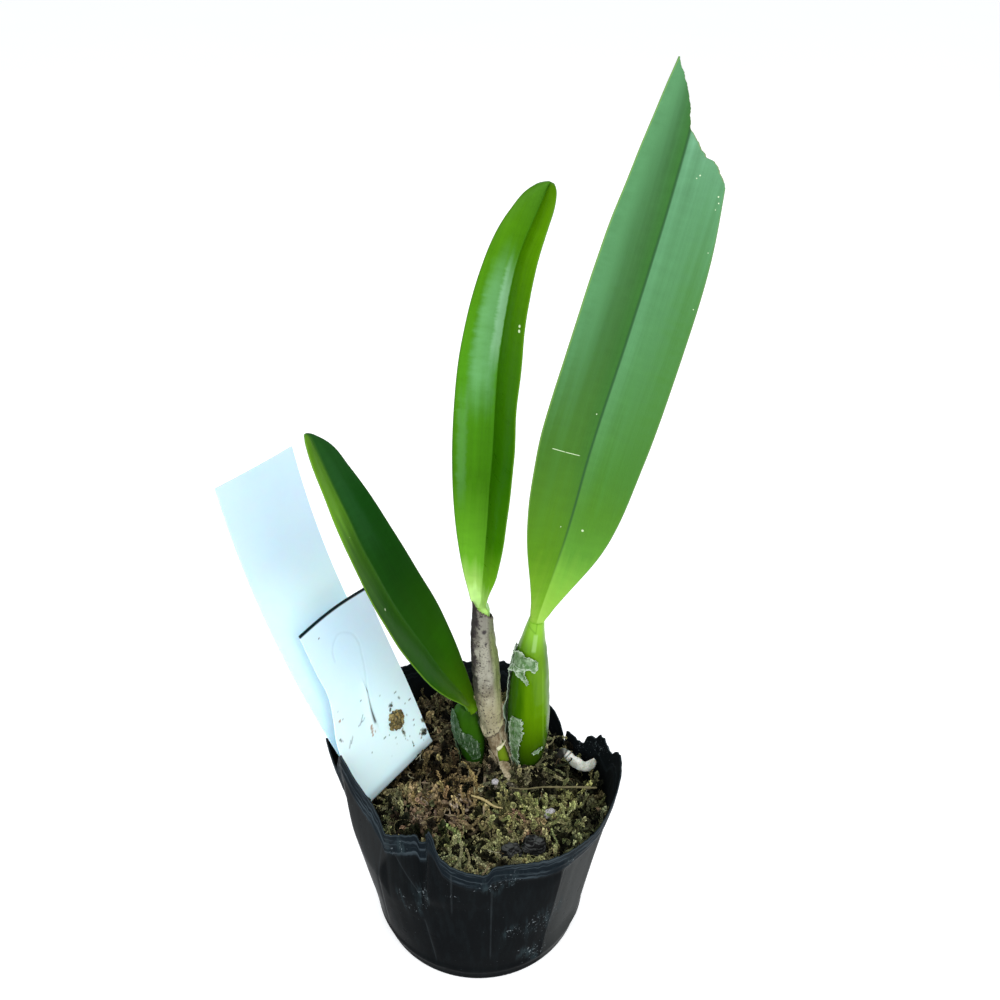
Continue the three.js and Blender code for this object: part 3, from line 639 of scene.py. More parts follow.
# %% [markdown]
# The floor of the pot is a disc with six drain holes. A disc with holes is not a plain grid,
# but it falls into six equal slices, and each slice is a grid round its own hole: from the
# edge of the hole straight out to the edge of the slice. The points on the cuts between two
# slices match, so merging them closes the disc.

# %% The pot's floor
DISC_RADIUS = 32.6
HOLE_RADIUS = 3.5
HOLE_CIRCLE = 22.0
HOLES = 6
DISC_LOW, DISC_HIGH = 0.5, 0.9


def floor_slice(turn_steps=72, out_steps=5):
    """A slice of the disc, 60 degrees wide, as a grid round its hole. From the hole's middle a
    ray in each direction meets the nearer of the two straight cuts or the outer circle."""
    turn = 2 * np.pi * (np.arange(turn_steps) + 0.5) / turn_steps
    way = np.stack([np.cos(turn), np.sin(turn)], -1)
    half = np.pi / HOLES
    reach = np.full(turn_steps, 1e9)
    for sign in (-1, 1):
        normal = np.array([-np.sin(half), sign * np.cos(half)])
        closing = way @ normal
        gap = -normal[0] * HOLE_CIRCLE
        reach = np.where(closing > 1e-9, np.minimum(reach, gap / np.maximum(closing, 1e-9)), reach)
    across = HOLE_CIRCLE * way[:, 0]
    circle = -across + np.sqrt(across**2 + DISC_RADIUS**2 - HOLE_CIRCLE**2)
    reach = np.minimum(reach, circle)
    share = np.linspace(0, 1, out_steps)[:, None]
    span = HOLE_RADIUS + (reach - HOLE_RADIUS) * share
    return np.array([HOLE_CIRCLE, 0.0]) + span[..., None] * way


def pot_floor():
    """The disc: six slices, each turned by another 60 degrees. Each is a loop of rows, out
    over the top and back underneath."""
    shapes = []
    flat = floor_slice()
    for k in range(HOLES):
        turn = 2 * np.pi * k / HOLES
        spin = np.array([[np.cos(turn), np.sin(turn)], [-np.sin(turn), np.cos(turn)]])
        plan = flat @ spin
        deck, under = [np.concatenate([plan, np.full((*plan.shape[:2], 1), z)], -1)
                       for z in (DISC_HIGH, DISC_LOW)]
        loop = np.concatenate([deck[::-1], under])
        faces = grid_faces(*loop.shape[:2], round_rows=True, round_columns=True)
        clear = np.zeros(loop[..., 0].size)
        shapes.append((loop.reshape(-1, 3), [faces], {"below": clear + 60, "inner": clear}))
    return join_shapes(shapes)


put_mesh("film_floor", pot_floor(), film, "black_film", "film_pot")

# %% [markdown]
# ## The folded label
# One strip of white plastic is folded in two and leans over the rim. In the upright plane
# across the fold, each half is a line that starts at its own lean and straightens as it
# rises, so its points come from adding up the sine and cosine of the lean along it. The strip
# stays bare. The front half has a die-cut tongue, a dark line along its end, and soil on it.

# %% The label's shape
LABEL_WIDTH = 31.4
LABEL_THICKNESS = 0.5
FOLD_RADIUS = 0.9
LABEL_CORNER = np.array([-34.4, -10.3, 58.4])
LABEL_TURN = np.radians(55.6)
ACROSS_WAY = np.array([np.cos(LABEL_TURN), np.sin(LABEL_TURN), 0.0])
OUT_WAY = np.array([np.sin(LABEL_TURN), -np.cos(LABEL_TURN), 0.0])
REAR_HALF = {"length": 111.0, "lean": -43.3, "straighten": 0.287, "skew": 0.007}
FRONT_HALF = {"length": 57.0, "lean": -30.5, "straighten": 0.0, "skew": 0.084}
# how far the front half's two edges wander to the right: [length from the fold, left, right]
WANDER = [[0, -1.1, -0.6], [8, -3.2, -0.3], [15.8, -3.8, -0.2], [23, -2.9, -0.2],
          [27.5, -1.2, -0.35], [35, 0.8, -0.6], [44, 0.3, -0.85], [51, 0.1, -0.85], [57, 0, -0.8]]


def half_line(half, s):
    """Out, up and lean along one half at lengths s from the fold."""
    steps = (np.arange(40) + 0.5) / 40
    lean = np.radians(half["lean"] + half["straighten"] * steps * s[:, None])
    out = np.sin(lean).mean(1) * s
    up = np.cos(lean).mean(1) * s
    return out, up, np.radians(half["lean"] + half["straighten"] * s)


def label_line():
    """The strip's middle line from the rear half's top, round the fold, to the front half's
    top: out, up, outward normal, sideways slip and length from the fold."""
    s = np.linspace(REAR_HALF["length"], 0.6, 50)
    out, up, lean = half_line(REAR_HALF, s)
    first = np.radians(REAR_HALF["lean"])
    foot = FOLD_RADIUS * np.array([-np.cos(first), np.sin(first)])
    rear = [out + foot[0], up + foot[1], -np.cos(lean), np.sin(lean), REAR_HALF["skew"] * s, -s]
    second = np.radians(FRONT_HALF["lean"])
    turn = np.linspace(np.pi - first, 2 * np.pi - second, 18)
    zero = 0 * turn
    fold = [FOLD_RADIUS * np.cos(turn), FOLD_RADIUS * np.sin(turn), np.cos(turn), np.sin(turn),
            zero, zero]
    s = np.linspace(0.5, FRONT_HALF["length"], 150)
    out, up, lean = half_line(FRONT_HALF, s)
    foot = FOLD_RADIUS * np.array([np.cos(second), -np.sin(second)])
    front = [out + foot[0], up + foot[1], np.cos(lean), -np.sin(lean), FRONT_HALF["skew"] * s, s]
    return np.concatenate([np.array(rear), np.array(fold), np.array(front)], 1)


def wander(across, s):
    """The sideways slip of the front half, from its left edge's to its right edge's."""
    left, right = np.moveaxis(smooth_knots(np.clip(s, 0, 57), WANDER), -1, 0)
    return (left + (right - left) * across / LABEL_WIDTH) * ease(s, -1, 1)


def near_line(across, up, knots):
    """Distance in millimetres from points on the label to a smooth line through knots."""
    line = path_through(knots)(np.linspace(0, 1, 90))
    gap = np.full(across.shape, 1e9)
    for x, y in line:
        gap = np.minimum(gap, np.hypot(across - x, up - y))
    return gap


TONGUE = [[8.4, 43.0], [9.2, 46.0], [11.3, 48.0], [14.1, 49.1], [16.9, 48.2], [19.3, 46.3],
          [20.1, 42.9], [19.2, 39.5], [18.0, 35.4], [16.0, 29.3]]
SLIT = [[16.0, 29.5], [15.3, 24.5], [15.0, 20.9], [14.9, 18.9]]
label_across = np.linspace(0, LABEL_WIDTH, 88)
label_rows = label_line()
label_s = label_rows[5][:, None] + 0 * label_across
label_x = label_across + 0 * label_s
tongue_gap = near_line(label_x, label_s, TONGUE)
slit_gap = near_line(label_x, label_s, SLIT)
print("label rows and columns:", label_s.shape)


# %% Make the label
def label_shell():
    """Front and back skins of the strip: the middle line moved out and in by half the
    thickness, less a fine groove where the tongue is cut."""
    out, up, normal_out, normal_up, slip, s = label_rows[:, :, None]
    bow = 0.5 * np.sin(np.pi * label_across / LABEL_WIDTH) * ease(np.abs(s), 4, 50)
    stretch = np.sin(np.pi * label_across / LABEL_WIDTH) * ease(s, 35, 57)
    groove = 0.12 * np.exp(-(tongue_gap / 0.35) ** 2) + 0.35 * np.exp(-(slit_gap / 0.45) ** 2)
    lift = 0.55 * np.exp(-((slit_gap / 2.2) ** 2)) * (label_x < 15.4)
    skins = []
    for side in (1, -1):
        push = side * LABEL_THICKNESS / 2 - bow + (lift - groove if side == 1 else 0.0)
        place = LABEL_CORNER + (out + push * normal_out)[..., None] * OUT_WAY
        place = place + (label_across + slip + wander(label_x, s))[..., None] * ACROSS_WAY
        place[..., 2] = LABEL_CORNER[2] + up + stretch + push * normal_up
        skins.append(place)
    return skins


def shell_between(front, back):
    """A closed shell of two equal grids: each row is a loop across the front and back again."""
    loop = np.concatenate([front, back[:, ::-1]], 1)
    rows, columns = loop.shape[:2]
    half = columns // 2
    j = np.arange(half - 1)
    foot = np.stack([columns - 1 - j, columns - 2 - j, j + 1, j], -1)
    head = (rows - 1) * columns + foot[:, ::-1]
    return loop.reshape(-1, 3), [np.concatenate(
        [grid_faces(rows, columns, round_columns=True), foot, head])]


def both_skins(values, back=None):
    """Marks for a shell_between: the front's values, then the back's, row by row."""
    back = values if back is None else back
    return np.concatenate([values, back[:, ::-1]], 1).reshape(-1, *values.shape[2:])


# soil, seeds of dirt and smears on the front half: [across, up, half width, half height, colour]
DIRT = [[22.4, 19.4, 0.75, 0.6, 1], [21.6, 18.4, 0.3, 0.7, 1], [22.7, 9.0, 0.45, 1.5, 3],
        [2.2, 26.9, 0.55, 0.5, 2], [13.0, 18.0, 0.4, 1.0, 2], [12.6, 16.4, 0.3, 1.1, 2],
        [13.7, 16.2, 0.25, 0.3, 2], [12.1, 27.4, 0.25, 0.2, 1], [20, 24.4, 0.16, 0.16, 1],
        [25.8, 21.7, 0.22, 0.22, 1], [26.2, 19.7, 0.22, 0.5, 1], [29.6, 16.5, 0.45, 0.3, 1],
        [27.4, 16.5, 0.3, 0.2, 1], [26.4, 12.9, 0.25, 0.25, 3], [27.9, 9.9, 0.25, 0.25, 1],
        [27.5, 8.6, 0.25, 0.25, 1], [19.4, 9.7, 0.22, 0.22, 1], [15.5, 12.3, 0.2, 0.2, 1],
        [17.6, 12, 0.2, 0.2, 1], [1.4, 21.6, 0.4, 0.35, 1], [9.8, 11.6, 0.3, 0.25, 1],
        [24.2, 4.0, 0.25, 0.5, 1],
        [15.2, 6.0, 0.18, 0.18, 1], [2.0, 29.6, 0.22, 0.2, 1], [3.5, 26.7, 0.2, 0.2, 1],
        [6.4, 52.3, 0.25, 0.2, 1], [29.7, 4.2, 1.6, 1.0, 3], [31.0, 7.6, 0.7, 0.9, 3],
        [24.5, 14.6, 0.2, 0.2, 1], [23, 16.8, 0.25, 0.2, 1]]
# shallow folds pressed into it, with painted shade along one side: [across, up, across, up]
PRESSED = [[11.6, 23.3, 9.8, 21.3], [11.9, 22.0, 9.0, 21.4], [5.9, 20.1, 4.6, 18.6],
           [4.9, 19.6, 3.5, 17.9]]


def dirt_marks():
    """How dirty each point is and which of three soils it is; ragged ellipses of soil."""
    ragged = 1 + 0.35 * ripple(np.stack([label_x, label_s], -1), 1.1, 21)
    nearest = np.full(label_s.shape, 1e9)
    kind = np.zeros(label_s.shape)
    for x, y, half_x, half_y, colour in DIRT:
        far = np.hypot((label_x - x) / half_x, (label_s - y) / half_y) * ragged
        kind = np.where(far < nearest, colour, kind)
        nearest = np.minimum(nearest, far)
    return 1 - ease(nearest, 0.7, 1.15), kind


pressed_gap = np.min([near_line(label_x, label_s, [row[:2], row[2:]]) for row in PRESSED], 0)
dirt_amount, dirt_kind = dirt_marks()
end_line = ease(label_s, FRONT_HALF["length"] - 1.15, FRONT_HALF["length"] - 0.85)
# painted shade in the open slit, wider towards the fold
slit_shade_mark = np.exp(-(slit_gap / (0.16 + 0.42 * (1 - ease(label_s, 19, 29)))) ** 2)
tongue_line = np.exp(-(tongue_gap / 0.3) ** 2) * ease(label_s, 24, 34)
# painted shade along one side of each pressed fold
pressed_shade = np.exp(-(pressed_gap / 0.17) ** 2) * (label_s > 5)
clean = 0 * dirt_amount
# the soil mark carries the dirt and also the slit's painted shade
label_marks = {
    "strip": both_skins(np.stack([label_x, label_s, clean], -1)),
    "soil": both_skins(np.stack([dirt_amount, dirt_kind, slit_shade_mark], -1),
                       np.stack([clean, clean, clean], -1)),
    # the line mark carries the end line, the tongue and the pressed folds' painted shade
    "line": both_skins(np.stack([end_line, tongue_line, pressed_shade], -1),
                       np.stack([end_line, clean, clean], -1)),
}

# %% [markdown]
# The plastic is white with a cold blue cast, a little translucent, and smooth. A touch of
# subsurface light keeps its shadow side from going grey. Painted light and shade even it
# out: the rear half is painted darker, but lighter where it faces the flap, and the front half
# is painted lighter towards the fold and darker towards its end.

# %% The label's finish
plastic = Finish("white_plastic", Roughness=0.33, Specular_IOR_Level=0.08,
                 Subsurface_Weight=0.25, Subsurface_Scale=0.003)
strip_at = plastic.mark("strip")
plastic_cloud = plastic.noise(strip_at, 0.06, 3.0)
strip_s = plastic.parts(strip_at)[1]
# the rear half is painted a little darker than the front: painted shade
plastic.colour = plastic.mix(plastic_cloud, (0.52, 0.75, 0.9), (0.57, 0.8, 0.93))
# painted light on the rear half where it faces the flap, against the flap's shadow
behind_flap_light = plastic.both(plastic.ease(strip_s, -84.0, -62.0),
                           plastic.ease(strip_s, -8.0, -40.0))
plastic.lay(behind_flap_light, (0.66, 0.93, 0.98), 0.7)
# painted light and shade on the front half: lighter towards the fold, darker towards its end
plastic_low = plastic.mix(plastic_cloud, (0.78, 0.96, 1.0), (0.83, 0.99, 1.0))
plastic_top = plastic.mix(plastic_cloud, (0.6, 0.79, 0.96), (0.64, 0.83, 0.98))
front_half_light = plastic.mix(plastic.ease(strip_s, 8.0, 52.0), plastic_low, plastic_top)
plastic.lay(plastic.ease(strip_s, -6.0, 6.0), front_half_light)
# darker near the fold: soil, and painted shade where the strip turns away
fold_soil_and_shade = plastic.both(plastic.flip(plastic.ease(strip_s, 0.2, 2.6)),
                         plastic.ease(strip_s, -3.0, 0.0))
plastic.lay(fold_soil_and_shade, (0.2, 0.22, 0.21), 0.5)
soil_amount, soil_kind, slit_shade = plastic.parts(plastic.mark("soil"))
line_end, line_tongue, pressed_shade_at = plastic.parts(plastic.mark("line"))
dust = plastic.ease(plastic.noise(strip_at, 1.3, 4.0, 0.7), 0.66, 0.74)
plastic.lay(dust, (0.3, 0.28, 0.22), 0.14)
soil_grain = plastic.noise(strip_at, 2.2, 3.0, 0.7)
dark_soil, rust_soil, green_soil = [plastic.mix(soil_grain, *pair) for pair in (
    ((0.02, 0.035, 0.035), (0.12, 0.17, 0.16)), ((0.24, 0.16, 0.1), (0.6, 0.47, 0.36)),
    ((0.03, 0.045, 0.03), (0.22, 0.26, 0.18)))]
soil_colour = plastic.mix(plastic.ease(soil_kind, 1.4, 1.6), dark_soil, rust_soil)
soil_colour = plastic.mix(plastic.ease(soil_kind, 2.4, 2.6), soil_colour, green_soil)
# the open slit is painted dark as shade, and the pressed folds get painted shade along one side
for label_mask, tint, amount in (
        (soil_amount, soil_colour, 1.0), (line_tongue, (0.2, 0.32, 0.38), 0.16),
        (pressed_shade_at, (0.06, 0.11, 0.13), 0.75), (slit_shade, (0.03, 0.05, 0.055), 1.0),
        (line_end, (0.002, 0.012, 0.014), 1.0)):
    plastic.lay(label_mask, tint, amount)
plastic.paint()
plastic.bump(plastic.noise(strip_at, 0.35, 3.0), 0.12, 0.4)
put_mesh("folded_label", (*shell_between(*label_shell()), label_marks), plastic,
         "white_plastic", "plant_label")

# %% [markdown]
# ## Leaves
# A cattleya leaf is thick, stiff and folded along its midrib. Going from base to tip along a
# smooth midrib, the section at each step is a V with a rounded groove: across the blade, the
# lift is the root of (distance squared plus groove squared), less the groove. The upper and
# the lower skin meet in a rounded margin. Marks keep the place along and across each blade in
# millimetres, so that veins, margins and specks follow the leaf.

# %% Leaf measures
LEAF_GROOVE = 1.1
LEAVES = {
    "leaf_left": {
        "midrib": [[-3.1, 9, 80.3], [-15.4, 7, 102.5], [-27, 3, 130.2], [-36, -1, 160],
                   [-42.6, -5, 185.7]],
        "half_width": [[0, 3.4], [0.04, 4.9], [0.1, 7.4], [0.25, 11.6], [0.45, 12.9],
                       [0.65, 11.4], [0.85, 8], [0.95, 4.9], [1, 1.2]],
        "face": [0.88, -0.38, 0.28], "fold": 26, "crown": 0.4, "stalk": 2.5},
    "leaf_middle": {
        "midrib": [[1.6, 8, 121.4], [3.7, 8, 148], [5.6, 8, 177], [7.5, 9, 203],
                   [13, 11, 229.6], [19.5, 14, 244]],
        "half_width": [[0, 3.8], [0.04, 5.0], [0.08, 6.3], [0.2, 9.4], [0.4, 11.8],
                       [0.6, 11.5], [0.8, 9.4], [0.92, 7.0], [0.97, 5.0], [1, 2.2]],
        "face": [-0.47, -0.87, 0.11], "fold": 38, "crown": 0.9, "stalk": 2.6},
    "leaf_right": {
        "midrib": [[18.2, 8, 116], [26, 8, 147], [32, 9.3, 175], [40.2, 11.6, 206.5],
                   [48.7, 15.5, 240.5], [55, 20, 268], [60, 24, 291]],
        "half_width": [[0, 2.8], [0.03, 4.0], [0.06, 5.6], [0.17, 11.9], [0.33, 15.3],
                       [0.49, 15.3], [0.65, 14.2], [0.72, 12.6], [0.79, 10.7], [0.88, 7.6],
                       [0.93, 5.6], [1, 1.5]],
        "face": [-0.01, -1, 0.1], "fold": 18, "crown": 0.2, "stalk": 2.3},
}
# The torn edge of the right leaf, seen from the front: [across x, up z]
TEAR = np.array([[65, 239], [61.2, 242.4], [60.9, 243.7], [59.8, 245.9], [58.9, 247.7],
                 [57.8, 248.9], [56.2, 249.6], [55.7, 250.5], [54.1, 253.0], [52.7, 255.2],
                 [52.1, 256.6], [52.0, 259.3], [51.4, 262.1], [50.7, 264.6], [49.8, 267.1],
                 [48.9, 269.2], [48.0, 271.6], [40, 300], [90, 300], [90, 239]])


def leaf_surface(leaf, s, w):
    """Middle surface and upward normal of a blade at shares s along it and w across it, from
    -1 at the left margin to 1 at the right one, and the blade's half width there."""
    spine = path_through(leaf["midrib"])
    forward = unit(spine(np.minimum(s + 0.002, 1)) - spine(np.maximum(s - 0.002, 0)))
    face = np.array(leaf["face"], float)
    up = unit(face - forward * (forward @ face)[..., None])
    side = np.cross(forward, up)
    half = np.maximum(smooth_knots(s, leaf["half_width"]), 0.3)
    fold = np.radians(leaf["fold"] + 16 * (1 - ease(s, 0.0, 0.12)))
    reach = w * half
    lift = np.hypot(reach, LEAF_GROOVE) - LEAF_GROOVE
    bulge = leaf["crown"] * np.sin(np.pi * np.abs(w)) * ease(s, 0.03, 0.2)
    slope = np.sin(fold) * reach / np.hypot(reach, LEAF_GROOVE)
    place = spine(s) + side * (reach * np.cos(fold))[..., None]
    place = place + up * (lift * np.sin(fold) + bulge)[..., None]
    normal = unit(up * np.cos(fold)[..., None] - side * slope[..., None])
    return place, normal, half


def inside_tear(x, z):
    """Whether points lie in the torn-off piece: an odd count of edges crossed to the right."""
    inside = np.zeros(x.shape, bool)
    for (x0, z0), (x1, z1) in zip(TEAR, np.roll(TEAR, -1, axis=0)):
        if z0 == z1:
            continue
        crossing = x0 + (z - z0) * (x1 - x0) / (z1 - z0)
        inside ^= ((z0 > z) != (z1 > z)) & (x < crossing)
    return inside


def torn_limit(leaf, s):
    """How far to the right each row of the torn leaf still reaches: the first w, from the left
    margin, that falls in the torn-off piece."""
    w = np.linspace(-1, 1, 900)
    rows, across = np.meshgrid(s, w, indexing="ij")
    place, _, _ = leaf_surface(leaf, rows, across)
    jag = 0.1 * ripple(place[..., [0, 2]], 2.8, 31) + 0.05 * ripple(place[..., [0, 2]], 0.9, 32)
    gone = inside_tear(place[..., 0] + jag, place[..., 2])
    first = np.where(gone.any(1), gone.argmax(1), len(w) - 1)
    return w[first]


print("leaves:", list(LEAVES))


# %% Leaf meshes
RIB_THICK, MARGIN_THICK = 1.9, 0.85


def leaf_shell(leaf, rows, across=72, torn=False):
    """Rings round the blade: over the upper skin from left to right, and back underneath.
    Thickness falls from the midrib to the margin and closes it with a half round. Near the
    base the rings turn into circles, and go on straight down as a short stalk."""
    turn = 2 * np.pi * (np.arange(across) + 0.5) / across
    w = -np.cos(turn)
    limit = torn_limit(leaf, rows) if torn else np.ones(len(rows))
    s_grid, w_grid = np.meshgrid(np.maximum(rows, 0), w, indexing="ij")
    w_grid = -1 + (w_grid + 1) * (limit[:, None] + 1) / 2
    place, normal, half = leaf_surface(leaf, s_grid, w_grid)
    edge = np.abs(np.sin(turn)) ** 0.45 * np.sign(np.sin(turn))
    thick = RIB_THICK + (MARGIN_THICK - RIB_THICK) * np.abs(w_grid)
    tip = np.sqrt(np.clip(1 - ((s_grid - 0.985) / 0.0165) ** 2 * (s_grid > 0.985), 0.02, 1))
    tip = np.ones_like(tip) if torn else tip
    wrinkle = np.stack([s_grid * 170, w_grid * half * 0.35, 0 * s_grid], -1)
    wrinkle = 0.01 * ripple(wrinkle, 2.6, 41) + 0.14 * ripple(place, 16, 42)
    length = chord_shares(leaf["midrib"])[1]
    centre = leaf_surface(leaf, s_grid, 0 * w_grid - (1 - limit[:, None]) * 0.5)[0]
    place = centre + (place - centre) * tip[..., None]
    skin = place + normal * (edge * thick / 2 * tip + wrinkle * ease(s_grid, 0, 0.08))[..., None]
    spine = path_through(leaf["midrib"])
    forward = unit(spine(np.array([0.01])) - spine(np.array([0.0])))
    face = np.array(leaf["face"], float)
    up = unit(face - forward * (forward @ face)[:, None])
    ring = np.cross(forward, up) * w[:, None] + up * np.sin(turn)[:, None]
    middle = spine(np.maximum(rows, 0)) + forward * (np.minimum(rows, 0) * length)[:, None]
    stalk = middle[:, None] + leaf["stalk"] * ring[None]
    skin = stalk + (skin - stalk) * ease(rows, -0.02, 0.02)[:, None, None]
    marks = {
        "blade": np.stack([s_grid * length, w_grid * half, np.sign(edge) + 0 * s_grid], -1),
        "share": np.stack([s_grid, w_grid, limit[:, None] - w_grid], -1),
    }
    return skin[:, ::-1], {k: v[:, ::-1].reshape(-1, 3) for k, v in marks.items()}


def leaf_piece(name, rows, finish, slot, torn=False):
    """A closed blade. The hub of each end takes the mean mark of the ring round it."""
    rings, marks = leaf_shell(LEAVES[name], rows, torn=torn)
    columns = rings.shape[1]
    marks = {k: np.concatenate([v, v[:columns].mean(0)[None], v[-columns:].mean(0)[None]])
             for k, v in marks.items()}
    put_mesh(name + "_blade", (*skin_over(rings), marks), finish, slot, name)


# %% [markdown]
# ## Leaf finishes
# Each blade has its own green, since each is turned differently to the light and is of a
# different age. All three share the recipe. Each half of the blade has a ramp of colours from
# base to tip, and the two ramps differ partly by painted light: the half turned to the light
# is lighter. Over it come soft bands and fine veins that run with the blade, painted shade and
# light beside the midrib, a dark line of painted shade in the groove of the midrib, a thin
# coloured margin, patches of painted sheen and shade and a few old marks. Gloss is kept low,
# as the sky all round would otherwise lay a grey veil over the greens.


# %% Leaf finishes
def leaf_finish(name, left, right, rib_shading, margins, rib, painted_light, specks, scratches=(),
                shine=0.34, gloss=0.1, blend=0.35, rib_amount=0.7):
    """The shared leaf recipe. left and right are ramps of [share, colour]; rib_shading paints
    shade and light on the part beside the midrib; painted_light is rows of painted sheen and
    shade, [share from, share to, w from, w to, amount, colour]; specks are [along, across,
    size]; scratches are [along, across, along, across]."""
    leaf = Finish(name, Specular_IOR_Level=gloss)
    at = leaf.mark("blade")
    across, skin = leaf.parts(at)[1:]
    share, spread, to_edge = leaf.parts(leaf.mark("share"))
    bands = leaf.noise(leaf.stretch(at, (0.008, 0.42, 0.0)), 1.0, 2.0, 0.5)
    veins = leaf.noise(leaf.stretch(at, (0.02, 2.2, 0.0)), 1.0, 3.0, 0.6)
    ruffle = leaf.noise(leaf.stretch(at, (0.42, 0.14, 0.0)), 1.0, 3.0, 0.6)
    place = leaf.calc("ADD", share, leaf.both(leaf.calc("SUBTRACT", bands, 0.5), 0.12))
    # the two halves' ramps differ partly by painted light: the half turned to the light is lighter
    left_colour = leaf.ramp(place, left)
    right_side = leaf.ease(across, -blend, blend)
    leaf.colour = leaf.mix(right_side, left_colour, leaf.ramp(place, right))
    off_rib = leaf.calc("ABSOLUTE", across)
    close = leaf.both(leaf.flip(leaf.ease(off_rib, 0.3, 5.5)), leaf.ease(share, 0.1, 0.5))
    # painted shade and painted light beside the midrib
    for side, (amount, tint) in zip((leaf.flip(right_side), right_side), rib_shading):
        leaf.lay(leaf.both(close, side), tint, amount)
    light = leaf.calc("ADD", leaf.both(bands, 0.36), leaf.both(veins, 0.17))
    light = leaf.calc("ADD", light, leaf.both(ruffle, 0.24))
    leaf.colour = leaf.scale(leaf.colour, leaf.calc("ADD", light, 0.62))
    ragged = leaf.calc("ADD", spread, leaf.both(leaf.calc("SUBTRACT", ruffle, 0.5), 0.25))
    cloudy = leaf.calc("ADD", leaf.both(ruffle, 0.8), 0.6)
    # patches of painted sheen and painted shade
    for share_from, share_to, w_from, w_to, amount, tint in painted_light:
        patch = leaf.both(leaf.band(place, share_from, share_to, 0.35),
                          leaf.band(ragged, w_from, w_to, 0.3))
        leaf.lay(leaf.both(patch, cloudy), tint, amount)
    rib_line = leaf.both(leaf.flip(leaf.ease(off_rib, 0.1, 0.75)), leaf.ease(share, 0.03, 0.25))
    # painted shade: a dark line in the groove of the midrib
    leaf.lay(rib_line, rib, rib_amount)
    from_edge = leaf.flip(leaf.calc("ABSOLUTE", spread))
    margin = leaf.mix(leaf.ease(across, -0.1, 0.1), *margins)
    leaf.lay(leaf.flip(leaf.ease(from_edge, 0.003, 0.035)), margin, 0.6)
    torn = leaf.both(leaf.flip(leaf.ease(to_edge, 0.01, 0.035)), leaf.ease(from_edge, 0.03, 0.08))
    torn_colour = leaf.mix(leaf.noise(at, 0.7, 3.0, 0.7), (0.1, 0.06, 0.02), (0.3, 0.42, 0.16))
    leaf.lay(torn, torn_colour, 0.8)
    marks = [leaf.spot(at, (x, y), size) for x, y, size in specks]
    marks += [leaf.line(at, row[:2], row[2:], 0.13) for row in scratches]
    leaf.lay(leaf.most(*marks), (0.7, 0.82, 0.55), 0.75)
    under = leaf.mix(0.5, left_colour, (0.1, 0.28, 0.08))
    under = leaf.mix(leaf.both(rib_line, 0.4), under, (0.2, 0.42, 0.14))
    under = leaf.scale(under, leaf.calc("ADD", light, 0.55))
    leaf.lay(leaf.ease(skin, 0.2, -0.2), under)
    leaf.paint(Roughness=leaf.between(ruffle, shine - 0.05, shine + 0.07))
    leaf.bump(leaf.calc("ADD", leaf.both(veins, 0.5), leaf.both(ruffle, 0.12)), 0.18, 0.4)
    return leaf


left_leaf_skin = leaf_finish(
    "left_leaf",
    [[0.0, (0.085, 0.19, 0.005)], [0.08, (0.035, 0.108, 0.003)], [0.2, (0.014, 0.074, 0.002)],
     [0.5, (0.014, 0.068, 0.0025)], [0.68, (0.036, 0.115, 0.005)], [0.8, (0.095, 0.25, 0.011)],
     [1.0, (0.07, 0.17, 0.012)]],
    [[0.0, (0.06, 0.15, 0.002)], [0.08, (0.034, 0.11, 0.002)], [0.2, (0.017, 0.075, 0.002)],
     [0.5, (0.0045, 0.038, 0.001)], [0.75, (0.0047, 0.0442, 0.0032)],
     [1.0, (0.0127, 0.0595, 0.0112)]],
    ((0.35, (0.045, 0.14, 0.01)), (0.3, (0.01, 0.07, 0.003))),
    ((0.16, 0.3, 0.02), (0.08, 0.12, 0.02)), (0.03, 0.11, 0.02),
    [[0.55, 1.0, 0.0, 0.6, 0.16, (0.03, 0.11, 0.04)],
     [0.1, 0.3, 0.3, 1.0, 0.3, (0.02, 0.11, 0.002)]],
    [[55.7, -8.2, 0.45], [82, -5.6, 0.16]], gloss=0.022, blend=1.3, rib_amount=0.25)
middle_leaf_skin = leaf_finish(
    "middle_leaf",
    [[0.0, (0.44, 0.7, 0.22)], [0.045, (0.42, 0.68, 0.2)], [0.07, (0.29, 0.52, 0.1)],
     [0.14, (0.11, 0.33, 0.015)], [0.35, (0.04, 0.155, 0.002)], [0.6, (0.055, 0.21, 0.006)],
     [0.9, (0.056, 0.18, 0.003)], [1.0, (0.05, 0.15, 0.01)]],
    [[0.0, (0.36, 0.62, 0.15)], [0.045, (0.3, 0.54, 0.1)], [0.08, (0.13, 0.35, 0.012)],
     [0.2, (0.035, 0.15, 0.001)], [0.4, (0.022, 0.11, 0.0003)], [0.65, (0.034, 0.135, 0.0005)],
     [0.9, (0.065, 0.19, 0.0005)], [1.0, (0.06, 0.16, 0.0005)]],
    ((0.15, (0.05, 0.2, 0.004)), (0.35, (0.015, 0.085, 0.0003))),
    ((0.06, 0.11, 0.012), (0.1, 0.2, 0.01)), (0.03, 0.13, 0.003),
    [[0.48, 0.88, -0.8, 0.0, 0.44, (0.17, 0.4, 0.2)],
     [0.6, 0.86, -0.34, 0.02, 0.42, (0.33, 0.56, 0.37)],
     [0.25, 0.62, -0.93, -0.6, 0.25, (0.12, 0.28, 0.11)]],
    [[90, 8.8, 0.5], [91.2, 8.6, 0.45]], gloss=0.03, shine=0.28)
